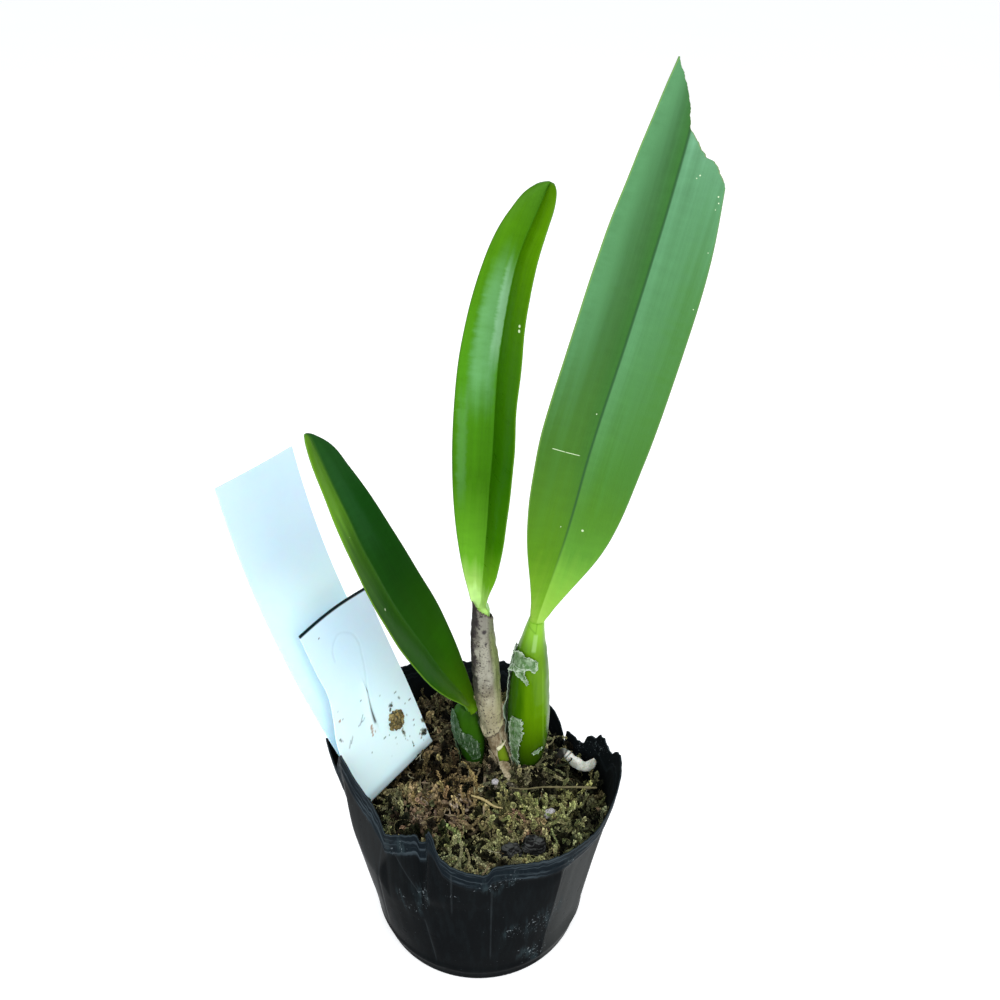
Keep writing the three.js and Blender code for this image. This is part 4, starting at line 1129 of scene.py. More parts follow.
right_leaf_skin = leaf_finish(
    "right_leaf",
    [[0.0, (0.196, 0.364, 0.036)], [0.06, (0.119, 0.28, 0.0108)], [0.14, (0.07, 0.196, 0.0043)],
     [0.3, (0.046, 0.143, 0.013)], [0.5, (0.037, 0.12, 0.026)],
     [0.75, (0.042, 0.128, 0.042)], [1.0, (0.058, 0.165, 0.07)]],
    [[0.0, (0.276, 0.495, 0.07)], [0.05, (0.21, 0.43, 0.045)], [0.1, (0.15, 0.355, 0.036)],
     [0.155, (0.082, 0.24, 0.022)], [0.225, (0.062, 0.188, 0.014)],
     [0.3, (0.0552, 0.18, 0.0247)], [0.5, (0.0718, 0.2115, 0.0712)], [0.7, (0.082, 0.225, 0.1)],
     [1.0, (0.135, 0.31, 0.19)]],
    ((0.75, (0.027, 0.115, 0.016)), (0.25, (0.12, 0.3, 0.16))),
    ((0.2, 0.36, 0.07), (0.13, 0.22, 0.07)), (0.018, 0.07, 0.02),
    [[0.3, 1.1, -2.0, -0.35, 0.55, (0.1, 0.28, 0.12)],
     [0.75, 1.1, -0.02, 0.7, 0.4, (0.24, 0.48, 0.34)],
     [0.15, 0.75, 0.4, 2.0, 0.6, (0.045, 0.15, 0.018)]],
    [[34.8, 4.3, 0.42], [34.4, -2.7, 0.2], [70, -1.8, 0.22], [134.6, 5.5, 0.22],
     [133.8, 4.9, 0.16], [131, 11.2, 0.22], [129.6, 11.7, 0.2], [128, 11.4, 0.14],
     [118, 12.9, 0.14], [104, 13.9, 0.16]],
    scratches=[[58.6, -11.3, 58.0, -7.4], [58.0, -7.4, 57.3, -2.9]],
    gloss=0.08, shine=0.38, rib_amount=0.85)
print("leaf finishes made")

# %% Make the leaves
leaf_piece("leaf_left", np.linspace(-0.02, 1, 200), left_leaf_skin, "leaf_dark")
leaf_piece("leaf_middle", np.linspace(-0.045, 1, 230), middle_leaf_skin, "leaf_bright")
torn_rows = np.concatenate([np.linspace(-0.02, 0.66, 150)[:-1], np.linspace(0.66, 1.0, 400)])
torn_reach = torn_limit(LEAVES["leaf_right"], torn_rows)
torn_rows = torn_rows[torn_reach > -0.985]
leaf_piece("leaf_right", torn_rows, right_leaf_skin, "leaf_blue_green", torn=True)

# %% [markdown]
# ## Pseudobulbs
# A pseudobulb is a stem swollen with water. Its section is round, so rings along a slightly
# bent axis are enough: the radius swells in the middle and shrinks to a narrow neck under
# the leaf, with shallow flutes where it has dried a little. Turns are counted in degrees from
# the rear by way of the left side, so 180 faces the front.

# %% Pseudobulb measures
# axis and radius are knots from foot to neck; flutes are [turn, depth, width in degrees]
BULBS = {
    "left": {
        "axis": [[-2.2, 10.5, 52.9], [-2.3, 10.4, 60], [-3.1, 10.2, 67], [-4.2, 9.8, 73],
                 [-4.4, 9.4, 77], [-3.4, 9, 80]],
        "radius": [3.6, 4.1, 4.65, 4.3, 3.7, 2.7],
        "flutes": [[150, 0.03, 20], [215, 0.04, 16], [60, 0.04, 20], [320, 0.04, 25]]},
    "middle": {
        "axis": [[9, 6.6, 53.1], [6.6, 7.2, 63.5], [5, 7.8, 71], [3.7, 8, 80], [2.4, 8, 98],
                 [1.6, 8, 112], [1.6, 8, 121.2]],
        "radius": [2.2, 2.3, 2.5, 3, 3.1, 2.6, 2.1],
        "flutes": [[205, 0.05, 14], [90, 0.05, 20], [300, 0.05, 20]]},
    "right": {
        "axis": [[16.3, 9, 52.9], [16.2, 9, 58], [16.1, 9, 64.5], [16.2, 9, 75.7],
                 [16.4, 9, 86.4], [16.6, 9, 96], [16.9, 8.8, 103], [17.3, 8.4, 109],
                 [18, 8, 115.6]],
        "radius": [3.6, 4.9, 6.2, 6.9, 6.5, 5.8, 4.8, 3.6, 2.4],
        "flutes": [[168, 0.022, 16], [208, 0.03, 12], [250, 0.03, 18], [100, 0.03, 22],
                   [310, 0.04, 25], [20, 0.04, 30]]},
}


def bulb_point(bulb, share, turn, lift=0.0):
    """Points that stand lift above a bulb's skin. The centre follows the axis, and goes on
    straight past its ends; the ring lies square to it."""
    share, turn, lift = np.broadcast_arrays(np.asarray(share, float), turn, lift)
    shares, length = chord_shares(bulb["axis"])
    inside = np.clip(share, 0, 1)
    spine = path_through(bulb["axis"])
    forward = unit(spine(np.minimum(inside + 0.004, 1)) - spine(np.maximum(inside - 0.004, 0)))
    centre = spine(inside) + forward * ((share - inside) * length)[..., None]
    rear = np.array([0.0, 1.0, 0.0])
    rear = unit(rear - forward * forward[..., 1:2])
    left = np.cross(forward, rear)
    radius = smooth_knots(inside, np.column_stack([shares, bulb["radius"]]))
    for place, depth, width in bulb["flutes"]:
        off = (turn - place + 180) % 360 - 180
        radius = radius * (1 - depth * np.exp(-((off / width) ** 2)) * ease(share, 0.1, 0.4))
    radius = radius + lift
    way = np.cos(np.radians(turn))[..., None] * rear + np.sin(np.radians(turn))[..., None] * left
    return centre + radius[..., None] * way


def stem_mark(turn, share):
    """A mark that says which way a point on a stem looks, and how far up the stem it is."""
    return np.stack([np.cos(np.radians(turn)), np.sin(np.radians(turn)), share], -1)


def bulb_body(bulb, steps=110, sides=90):
    """Rings from foot to neck, their ends drawn in; the mark keeps the turn and the share."""
    share, turn = np.meshgrid(np.linspace(0, 1, steps), 360 * np.arange(sides) / sides,
                              indexing="ij")
    rings = bulb_point(bulb, share, turn, -1.2 * (1 - ease(share, 0.0, 0.05)))
    rings = rings + 0.06 * ripple(rings, 6, 51)[..., None] * unit(rings - rings.mean(1)[:, None])
    mark = stem_mark(turn, share).reshape(-1, 3)
    return *skin_over(rings), {"stem": np.concatenate([mark, [[0, 0, 0], [0, 0, 1]]])}


print("bulb heights in mm:", {k: round(chord_shares(b["axis"])[1]) for k, b in BULBS.items()})

# %% [markdown]
# The skin of a live bulb is glossy and waxy. Long soft streaks run up it, it is painted darker
# towards the shaded side and lighter towards the lit one, and a clear coat gives the sharp
# highlight. A few painted highlights run down the right bulb.


# %% Pseudobulb finishes
def facing(finish, turn, low, high):
    """1 on the side of a bulb that looks towards a turn, from the marks of its rings."""
    toward, left, _ = finish.parts(finish.mark("stem"))
    a = finish.both(toward, float(np.cos(np.radians(turn))))
    b = finish.both(left, float(np.sin(np.radians(turn))))
    return finish.ease(finish.calc("ADD", a, b), low, high)


def bulb_finish(name, dark, plain, lit_tint, foot, neck, bright_turn, gloss=0.1, lines=()):
    """Streaks from dark to plain, painted lighter towards one turn as if lit there, with other
    tints at foot and neck. lines are [x, z, x, z, half width, amount, colour], drawn as seen
    from the front; some of them are painted highlights."""
    bulb = Finish(name, Specular_IOR_Level=gloss, Coat_Weight=0.12, Coat_Roughness=0.1)
    place = mm_place(bulb)
    streaks = bulb.noise(bulb.stretch(place, (0.22, 0.22, 0.02)), 1.0, 3.0, 0.5)
    share = bulb.parts(bulb.mark("stem"))[2]
    # painted light: lighter on the side turned towards bright_turn
    lit = facing(bulb, bright_turn, 0.35, 1.0)
    bulb.colour = bulb.mix(bulb.ease(streaks, 0.3, 0.7), dark, plain)
    bulb.lay(bulb.both(lit, bulb.ease(streaks, 0.2, 0.6)), lit_tint)
    bulb.lay(bulb.flip(bulb.ease(share, 0.0, 0.5)), foot)
    bulb.lay(bulb.ease(share, 0.78, 0.98), neck)
    bulb.lay(bulb.ease(bulb.noise(place, 1.6, 3.0, 0.7), 0.7, 0.76), dark, 0.25)
    x, _, z = bulb.parts(place)
    seen = bulb.vector(x, z, 0.0)
    for x0, z0, x1, z1, half, amount, tint in lines:
        drawn = bulb.both(bulb.line(seen, (x0, z0), (x1, z1), half), amount)
        bulb.lay(bulb.both(drawn, facing(bulb, 180, -0.2, 0.1)), tint)
    bulb.paint(Roughness=bulb.between(streaks, 0.24, 0.4))
    bulb.bump(bulb.calc("ADD", streaks, bulb.both(bulb.noise(place, 0.9, 4.0), 0.4)), 0.2, 0.5)
    return bulb


bulb_skins = {
    "left": bulb_finish("left_bulb", (0.008, 0.036, 0.001), (0.016, 0.068, 0.002),
                        (0.03, 0.11, 0.004), (0.008, 0.04, 0.003), (0.022, 0.08, 0.005), 200,
                        0.05),
    "middle": bulb_finish("middle_bulb", (0.12, 0.2, 0.02), (0.2, 0.31, 0.03),
                          (0.28, 0.42, 0.03), (0.17, 0.27, 0.01), (0.24, 0.46, 0.05), 230,
                          lines=[[5.8, 65.3, 8.5, 68.8, 0.5, 0.9, (0.75, 0.76, 0.42)]]),
    "right": bulb_finish(
        "right_bulb", (0.025, 0.098, 0.0003), (0.058, 0.162, 0.0004), (0.1, 0.23, 0.001),
        (0.018, 0.055, 0.0003), (0.2, 0.43, 0.03), 205, 0.05,
        [[15.0, 115.2, 17.8, 112.2, 0.4, 0.35, (0.06, 0.2, 0.004)],
         [17.8, 112.2, 18.3, 117.1, 0.22, 0.4, (0.05, 0.16, 0.003)],
         # painted highlights: a pale patch under the neck and two streaks down the right side
         [17.9, 112.0, 17.2, 105.5, 0.9, 0.45, (0.36, 0.58, 0.2)],
         [21.6, 108.0, 22.9, 84.0, 0.25, 0.45, (0.35, 0.55, 0.1)],
         [20.2, 99.0, 20.9, 70.0, 0.3, 0.3, (0.2, 0.4, 0.03)]]),
}
BULB_SLOTS = {"left": "bulb_dark_green", "middle": "bulb_olive", "right": "bulb_bright_green"}
for bulb_name, bulb in BULBS.items():
    put_mesh(f"{bulb_name}_bulb", bulb_body(bulb), bulb_skins[bulb_name],
             BULB_SLOTS[bulb_name], f"pseudobulb_{bulb_name}")

# %% [markdown]
# ## Papery sheaths
# Each stem grows inside leafy sheaths that dry to paper and tear. On the middle stem one
# sheath still goes right round, so it is a sleeve, closed like the pot's wall: up the outside
# and down the inside, between a lower and an upper edge that are knots of turn and share. On
# the other two only shreds are left, and each shred is a small curved sheet between two side
# lines, with ragged sides that curl away from the stem.


# %% Sleeves and shreds
def sleeve(bulb, bottom, top, lift, thickness, seed, rows=90, columns=110):
    """A closed wall round a bulb, from a lower to an upper edge, both knots of [turn, share].
    It stands lift above the skin, swells in the middle, flares at both ends and is crinkled
    along its length by ripples."""
    turn = 360 * np.arange(columns)[None, :] / columns
    rough = np.stack([np.cos(np.radians(turn[0])), np.sin(np.radians(turn[0]))], -1) * 3
    low = np.interp(turn, *np.array(bottom).T) + 0.006 * ripple(rough, 0.9, seed)
    high = np.interp(turn, *np.array(top).T) + 0.004 * ripple(rough, 0.8, seed + 1)
    climb = np.linspace(0, 1, rows)[:, None]
    share = low + (high - low) * climb
    spin = turn + 0 * share
    guide = bulb_point(bulb, share, spin, lift)
    length = chord_shares(bulb["axis"])[1]
    mark = stem_mark(spin, share)
    crinkle = 0.1 * ripple(mark * [3, 3, length * 0.06], 1.1, seed + 2)
    crinkle = crinkle + 0.12 * ripple(guide, 4.0, seed + 3) + 0.5 * np.sin(np.pi * climb)
    flare = 0.35 * ease(climb, 0.93, 1.0) + 0.8 * (1 - ease(climb, 0.0, 0.06))
    rim = 1 - 0.6 * (1 - ease(climb, 0.0, 0.012)) - 0.6 * ease(climb, 0.988, 1.0)
    outer, inner = [bulb_point(bulb, share, spin, lift + half * rim + crinkle + flare)
                    for half in (thickness / 2, -thickness / 2)]
    loop = np.concatenate([outer, inner[::-1]])
    faces = grid_faces(*loop.shape[:2], round_rows=True, round_columns=True)
    edge = np.minimum(climb, 1 - climb) * (high - low) * length + 0 * turn
    marks = {"stem": np.concatenate([mark, mark[::-1]]).reshape(-1, 3),
             "edge": np.concatenate([edge, edge[::-1]]).ravel()}
    return loop.reshape(-1, 3), [faces], marks


def shred(bulb, sides, lift, curl=0.5, thickness=0.16, rows=60, columns=14, seed=1, ragged=1.0):
    """A torn strip of sheath between two side lines. sides are rows of
    [share, turn, share, turn]; the strip runs along the rows, and its sides curl away."""
    steps = np.linspace(0, 1, rows)
    knots = np.asarray(sides, float)
    line = smooth_knots(steps, np.column_stack([np.linspace(0, 1, len(knots)), knots]))
    rough = np.column_stack([steps * 20, 0 * steps])
    line = line + ragged * np.column_stack([
        0.004 * ripple(rough, 1.3, seed), 2.2 * ripple(rough, 1.1, seed + 1),
        0.004 * ripple(rough, 1.2, seed + 2), 2.2 * ripple(rough, 1.0, seed + 3)])
    across = np.linspace(0, 1, columns)[None, :]
    share = line[:, 0:1] + (line[:, 2:3] - line[:, 0:1]) * across
    turn = line[:, 1:2] + (line[:, 3:4] - line[:, 1:2]) * across
    guide = bulb_point(bulb, share, turn, lift)
    rise = lift + 0.1 * ripple(guide, 2.2, seed + 4) + 0.06 * ripple(guide, 0.9, seed + 5)
    rise = rise + curl * np.abs(2 * across - 1) ** 3 * (0.4 + 0.6 * ripple(rough, 5, seed + 6)
                                                         [:, None] ** 2)
    rise = np.maximum(rise, 0.22)
    front = bulb_point(bulb, share, turn, rise + thickness)
    back = bulb_point(bulb, share, turn, rise)
    points, faces = shell_between(front, back)
    ends = np.minimum(steps, 1 - steps)[:, None] * rows * 0.25
    edge = np.minimum(np.minimum(across, 1 - across) * 6, ends)
    mark = stem_mark(turn, share)
    return points, faces, {"stem": both_skins(mark), "edge": both_skins(edge)}


SHREDS_RIGHT = [
    # the long strip that stands off the left side
    dict(sides=[[0.04, 60, 0.03, 118], [0.14, 50, 0.13, 116], [0.28, 46, 0.27, 108],
                [0.42, 46, 0.42, 103], [0.52, 44, 0.53, 100], [0.6, 42, 0.62, 98],
                [0.68, 40, 0.7, 104], [0.76, 44, 0.78, 104], [0.81, 60, 0.82, 96]],
         lift=0.55, curl=0.5, rows=110, seed=61, ragged=0.35),
    # the band that crosses to the front, and the fork under it
    dict(sides=[[0.79, 82, 0.69, 84], [0.815, 108, 0.695, 112], [0.835, 130, 0.72, 138],
                [0.825, 160, 0.75, 166], [0.81, 186, 0.735, 188], [0.795, 199, 0.765, 200]],
         lift=0.4, curl=0.35, rows=60, columns=20, seed=71, ragged=0.5),
    dict(sides=[[0.655, 168, 0.655, 170], [0.675, 160, 0.672, 172], [0.695, 142, 0.69, 168],
                [0.72, 118, 0.72, 160], [0.74, 108, 0.745, 160]],
         lift=0.45, curl=0.4, rows=40, seed=81),
    # the patch low on the left
    dict(sides=[[0.12, 126, 0.1, 146], [0.18, 122, 0.17, 152], [0.25, 124, 0.26, 156],
                [0.33, 122, 0.33, 164], [0.39, 126, 0.4, 164], [0.43, 134, 0.43, 158]],
         lift=0.3, curl=0.45, rows=80, columns=18, seed=91, ragged=1.5),
    # the wrap at the foot, and a small peeled tear at the right
    dict(sides=[[0.0, 96, -0.01, 178], [0.05, 100, 0.03, 172], [0.09, 110, 0.08, 150],
                [0.12, 118, 0.12, 134]], lift=0.35, curl=0.3, rows=40, columns=24, seed=101),
    dict(sides=[[0.2, 190, 0.185, 194], [0.215, 200, 0.19, 204], [0.225, 212, 0.2, 214],
                [0.226, 221, 0.214, 221]], lift=0.35, curl=0.5, rows=24, columns=8, seed=111,
         ragged=0.5),
]
SHREDS_LEFT = [
    dict(sides=[[0.5, 92, 0.46, 140], [0.62, 88, 0.6, 150], [0.74, 90, 0.74, 160],
                [0.84, 92, 0.84, 152], [0.91, 100, 0.9, 140]], lift=0.25, curl=0.35, seed=121,
         rows=60, columns=22, ragged=2.4),
    dict(sides=[[0.2, 186, 0.22, 216], [0.32, 172, 0.32, 218], [0.42, 150, 0.44, 214],
                [0.52, 134, 0.56, 204], [0.62, 132, 0.66, 190], [0.7, 136, 0.72, 160]],
         lift=0.25, curl=0.2, seed=131, rows=60, columns=22, ragged=2.4),
    dict(sides=[[0.1, 60, 0.1, 120], [0.3, 56, 0.3, 116], [0.5, 58, 0.5, 112],
                [0.66, 66, 0.66, 104]], lift=0.35, curl=0.4, seed=141, rows=50, ragged=1.2),
]
print("shreds:", len(SHREDS_RIGHT) + len(SHREDS_LEFT))

# %% [markdown]
# Dry sheath is fibrous and dull. On the two green bulbs it is thin and silvery, and a little
# of the green shows through. On the middle stem it is beige, spotted with black mould, and
# almost black near its top. At its foot it is brown straw.


# %% Sheath finishes
def silver_finish(name, thin, thick, streak, edge):
    """Thin silvery skin: clouds from thin to thick, long pale strokes, and pale torn edges."""
    silver = Finish(name, Roughness=0.6, Specular_IOR_Level=0.3)
    place = mm_place(silver)
    fibre = silver.noise(silver.stretch(place, (1.3, 1.3, 0.2)), 1.0, 4.0, 0.7)
    cloud = silver.noise(place, 0.45, 3.0, 0.6)
    silver.colour = silver.mix(silver.ease(cloud, 0.38, 0.62), thin, thick)
    silver.lay(silver.ease(fibre, 0.53, 0.63), streak, 0.7)
    silver.lay(silver.flip(silver.ease(silver.number("edge"), 0.1, 0.7)), edge, 0.6)
    silver.paint()
    silver.bump(fibre, 0.2, 0.6)
    return silver


silver_skins = {
    "right": silver_finish("silver_paper", (0.06, 0.15, 0.035), (0.2, 0.3, 0.17),
                           (0.46, 0.56, 0.42), (0.58, 0.68, 0.56)),
    "left": silver_finish("green_silver_paper", (0.014, 0.055, 0.006), (0.05, 0.1, 0.045),
                          (0.42, 0.52, 0.4), (0.08, 0.15, 0.07)),
}

grey = Finish("spotted_paper", Roughness=0.55, Specular_IOR_Level=0.35)
grey_place = mm_place(grey)
grey_share = grey.parts(grey.mark("stem"))[2]
grey_fibre = grey.noise(grey.stretch(grey_place, (1.2, 1.2, 0.07)), 1.0, 4.0, 0.65)
grey_cloud = grey.noise(grey.stretch(grey_place, (0.28, 0.28, 0.12)), 1.0, 3.0)
grey.colour = grey.mix(grey.ease(grey_cloud, 0.35, 0.65), (0.15, 0.135, 0.1), (0.31, 0.3, 0.235))
grey.lay(grey.ease(grey_fibre, 0.5, 0.7), (0.4, 0.39, 0.32), 0.4)
grey.lay(facing(grey, 262, 0.5, 0.9), (0.15, 0.19, 0.05), 0.9)
rust_side = grey.both(facing(grey, 285, 0.85, 0.98), grey.ease(grey_share, 0.5, 0.9))
grey.lay(rust_side, (0.1, 0.05, 0.04), 0.5)
grey.lay(grey.flip(grey.ease(grey_share, 0.4, 0.62)), (0.46, 0.41, 0.24), 0.62)
grey.lay(grey.ease(grey_share, 0.78, 0.93), (0.1, 0.095, 0.08), 0.6)
blotch = grey.calc("SUBTRACT", grey.noise(grey_place, 0.55, 4.0, 0.65), 0.5)
black_side = grey.calc("ADD", facing(grey, 92, 0.0, 1.0), grey.both(blotch, 1.6))
black_side = grey.both(grey.ease(black_side, 0.42, 0.85), grey.ease(grey_share, 0.33, 0.62))
black_top = grey.calc("ADD", facing(grey, 100, -0.4, 1.0), grey.both(blotch, 1.8))
black_top = grey.both(grey.ease(black_top, 0.5, 0.85), grey.ease(grey_share, 0.76, 0.98))
grey.lay(grey.most(black_side, black_top), (0.022, 0.016, 0.02), 0.92)
small_spots = grey.cells(grey.stretch(grey_place, (1.0, 1.0, 0.8)), 0.85)
small_spots = grey.flip(grey.ease(small_spots, 0.17, 0.34))
finer_spots = grey.flip(grey.ease(grey.cells(grey_place, 1.3), 0.2, 0.4))
speckle = grey.ease(grey.noise(grey_place, 0.55, 3.0, 0.6), 0.34, 0.54)
left_more = grey.calc("ADD", grey.both(facing(grey, 110, -0.5, 0.8), 0.55), 0.45)
small_spots = grey.most(small_spots, grey.both(finer_spots, 0.75))
grey.lay(grey.both(grey.both(small_spots, speckle), left_more), (0.03, 0.018, 0.018))
# larger mould spots: [share, turn, size]
MOULD = [[0.886, 192, 0.75], [0.823, 195, 0.42], [0.435, 156, 0.34], [0.93, 150, 0.8],
         [0.86, 130, 0.8], [0.905, 165, 0.45], [0.78, 128, 0.5], [0.74, 140, 0.3],
         [0.97, 180, 0.4], [0.68, 135, 0.35], [0.62, 150, 0.25], [0.56, 128, 0.3],
         [0.36, 170, 0.2], [0.4, 200, 0.2], [0.33, 145, 0.22]]
mould = grey.most(*[far_from(grey, grey_place, bulb_point(BULBS["middle"], s, t, 1.15), r)
                    for s, t, r in MOULD])
grey.lay(grey.calc("MINIMUM", mould, 0.94), (0.02, 0.014, 0.016))
grey.lay(grey.flip(grey.ease(grey.number("edge"), 0.25, 0.9)), (0.05, 0.03, 0.025), 0.8)
grey.paint()
grey.bump(grey.calc("ADD", grey_fibre, grey.both(grey_cloud, 0.5)), 0.3, 0.6)

brown = Finish("straw_paper", Roughness=0.62, Specular_IOR_Level=0.3)
brown_place = mm_place(brown)
brown_fibre = brown.noise(brown.stretch(brown_place, (1.5, 1.5, 0.1)), 1.0, 5.0, 0.7)
brown_cloud = brown.noise(brown_place, 0.35, 3.0)
brown.colour = brown.mix(brown.ease(brown_cloud, 0.35, 0.65), (0.19, 0.14, 0.075),
                         (0.43, 0.36, 0.23))
brown.lay(brown.ease(brown_fibre, 0.52, 0.7), (0.5, 0.42, 0.3))
brown.lay(brown.ease(brown_fibre, 0.42, 0.3), (0.07, 0.04, 0.025), 0.7)
brown.lay(brown.flip(brown.ease(brown.number("edge"), 0.1, 0.7)), (0.6, 0.55, 0.38), 0.5)
brown.paint()
brown.bump(brown_fibre, 0.35, 0.8)

# %% Make the sheaths
middle = BULBS["middle"]
sleeve_shape = sleeve(
    middle,
    [[0, 0.3], [60, 0.31], [100, 0.295], [120, 0.267], [137, 0.25], [155, 0.256], [180, 0.27],
     [215, 0.29], [238, 0.31], [260, 0.33], [300, 0.32], [360, 0.3]],
    [[0, 0.97], [40, 1.0], [80, 1.03], [105, 1.035], [125, 1.03], [150, 1.012], [180, 0.99],
     [215, 0.965], [255, 0.945], [285, 0.93], [325, 0.945], [360, 0.97]],
    0.6, 0.3, 151)
put_mesh("middle_sheath", sleeve_shape, grey, "grey_sheath", "sheath_middle")
BRACTS = [
    dict(sides=[[-0.02, 100, -0.03, 172], [0.05, 80, 0.04, 167], [0.12, 60, 0.12, 166],
                [0.165, 58, 0.165, 176], [0.2, 56, 0.195, 202], [0.235, 56, 0.22, 224],
                [0.3, 60, 0.31, 220]], lift=0.4, curl=0.15, seed=161, rows=60, columns=34,
         ragged=0.8),
    dict(sides=[[0.13, 240, 0.15, 300], [0.19, 230, 0.2, 306], [0.28, 214, 0.28, 306],
                [0.36, 230, 0.36, 300], [0.44, 246, 0.45, 290], [0.5, 262, 0.5, 280]],
         lift=0.75, curl=0.2, seed=171, rows=60, columns=26, ragged=0.7),
    dict(sides=[[-0.04, 230, -0.04, 330], [0.04, 250, 0.05, 345], [0.12, 262, 0.12, 350],
                [0.18, 290, 0.18, 350]], lift=0.5, curl=0.3, seed=181, rows=40, columns=20),
    # pale fibres down the right, and the claw at the left
    dict(sides=[[0.1, 238, 0.1, 256], [0.2, 242, 0.2, 260], [0.3, 248, 0.3, 264],
                [0.42, 252, 0.42, 268]], lift=1.1, curl=0.1, seed=196, rows=50, columns=8,
         ragged=0.6),
    dict(sides=[[-0.06, 168, -0.08, 200], [0.0, 150, 0.0, 184], [0.08, 128, 0.08, 160],
                [0.16, 112, 0.16, 142]], lift=1.0, curl=0.3, seed=199, rows=50, columns=10),
    dict(sides=[[-0.08, 196, -0.1, 236], [-0.02, 190, -0.02, 226], [0.04, 182, 0.04, 206],
                [0.1, 178, 0.1, 186]], lift=1.0, curl=0.4, seed=205, rows=40, columns=10),
]


def foot_flap(rows=30, columns=14):
    """The end of a bract that has peeled off and lies on the moss: a narrow tongue, rows from
    its tip back to the stem, a little hollow and split along its length."""
    t = np.linspace(1, 0, rows)[:, None]
    u = np.linspace(-1, 1, columns)[None, :]
    rough = ripple(np.column_stack([t * 12, 0 * t]), 3, 208)[:, None]
    half = 0.25 + 1.5 * (1 - t**2) + 0.25 * rough
    x = 8.2 + 1.7 * t + u * half
    y = 3.4 - 7.2 * t + 0 * u
    z = 60.7 - 1.0 * t - 0.5 * u**2 + 0.12 * ripple(np.stack([x, y], -1), 1.2, 209)
    front = np.stack([x, y - 0.05, z + 0.12], -1)
    back = np.stack([x, y + 0.05, z - 0.12], -1)
    points, faces = shell_between(front, back)
    edge = np.minimum((1 - np.abs(u)) * 4, (1 - t) * 8 + 0 * u)
    mark = np.zeros((*edge.shape, 3))
    return points, faces, {"stem": both_skins(mark), "edge": both_skins(edge)}


put_mesh("middle_bracts", join_shapes([shred(middle, **row) for row in BRACTS] + [foot_flap()]),
         brown, "brown_bract", "bract_middle")
cream = grainy("cut_edge", (0.6, 0.56, 0.34), (0.85, 0.84, 0.6), (1.5, 3.0), 0.0,
               Roughness=0.6, Specular_IOR_Level=0.2)
cut_line = shred(middle, [[0.188, 176, 0.17, 182], [0.197, 198, 0.181, 202],
                          [0.206, 222, 0.193, 226], [0.21, 238, 0.202, 239]],
                 lift=1.0, curl=0.05, seed=191, rows=24, columns=6, ragged=0.3)
put_mesh("cut_edge", cut_line, cream, "brown_bract", "bract_middle")
for shred_name, bulb_name, rows in (("right_sheath", "right", SHREDS_RIGHT),
                                    ("left_sheath", "left", SHREDS_LEFT)):
    put_mesh(shred_name, join_shapes([shred(BULBS[bulb_name], **row) for row in rows]),
             silver_skins[bulb_name], "silver_sheath", f"sheath_{bulb_name}")

# %% [markdown]
# ## The white root
# One thick root has come up beside the rim. Orchid roots wear a spongy white coat, so it is
# dull and knobbly, with two dark rings where it broke the surface. Its start is painted near
# black, as shade where it goes into the moss. A tube along its path, with lumps added to its
# radius, gives the knobbly shape.

# %% The root
ROOT_WHITE = [[24.6, 10.8, 50.1], [26.2, 12.9, 51.2], [28.5, 14.9, 52.9], [32.4, 12.4, 51.0],
              [35.7, 10.5, 50.6], [38, 10.0, 52.6], [38.5, 9.8, 55.0]]
ROOT_GIRTH = [[0, 1.0], [0.15, 1.15], [0.3, 1.3], [0.42, 1.5], [0.55, 1.75], [0.7, 1.7],
              [0.82, 1.6], [0.9, 1.35], [0.96, 0.9], [1, 0.35]]


def knobbly_tube(path, girth, lumps, seed, steps=90, sides=28):
    """Rings along a path; the radius is a profile plus ripples that make knobs."""
    share = np.linspace(0, 1, steps)
    centres = path_through(path)(share)
    rings = rings_along(centres, smooth_knots(share, girth), sides)
    knobs = 1 + lumps * ripple(rings, 3.2, seed) + 0.4 * lumps * ripple(rings, 1.1, seed + 1)
    rings = centres[:, None] + (rings - centres[:, None]) * knobs[..., None]
    return *skin_over(rings), {"along": np.concatenate([np.repeat(share, sides), [0, 1]])}


root = Finish("root_coat", Roughness=0.75, Specular_IOR_Level=0.25,
              Subsurface_Weight=0.15, Subsurface_Scale=0.002)
root_place = mm_place(root)
root_along = root.number("along")
root_cloud = root.noise(root_place, 0.5, 4.0, 0.6)
root.colour = root.mix(root.ease(root_cloud, 0.35, 0.65), (0.46, 0.48, 0.4), (0.8, 0.82, 0.74))
dark_rings = [root.calc("ABSOLUTE", root.calc("SUBTRACT", root_along, at)) for at in (0.36, 0.42)]
root.lay(root.most(root.flip(root.ease(dark_rings[0], 0.008, 0.022)),
                   root.flip(root.ease(dark_rings[1], 0.005, 0.016))), (0.06, 0.07, 0.06), 0.85)
# painted shade: the root's start is near black where it goes into the moss
root.lay(root.flip(root.ease(root_along, 0.28, 0.42)), (0.012, 0.012, 0.008))
root.lay(root.ease(root.noise(root_place, 1.6, 3.0, 0.7), 0.64, 0.7), (0.1, 0.08, 0.05), 0.6)
root.paint()
root.bump(root.noise(root_place, 1.4, 4.0, 0.6), 0.3, 0.7)
put_mesh("white_root", knobbly_tube(ROOT_WHITE, ROOT_GIRTH, 0.07, 201), root, "root_velamen",
         "root_white")

# %% [markdown]
# The rhizome and the other roots are buried in the moss. Their plain shapes from the packed
# model stay, and get the same kind of finish.

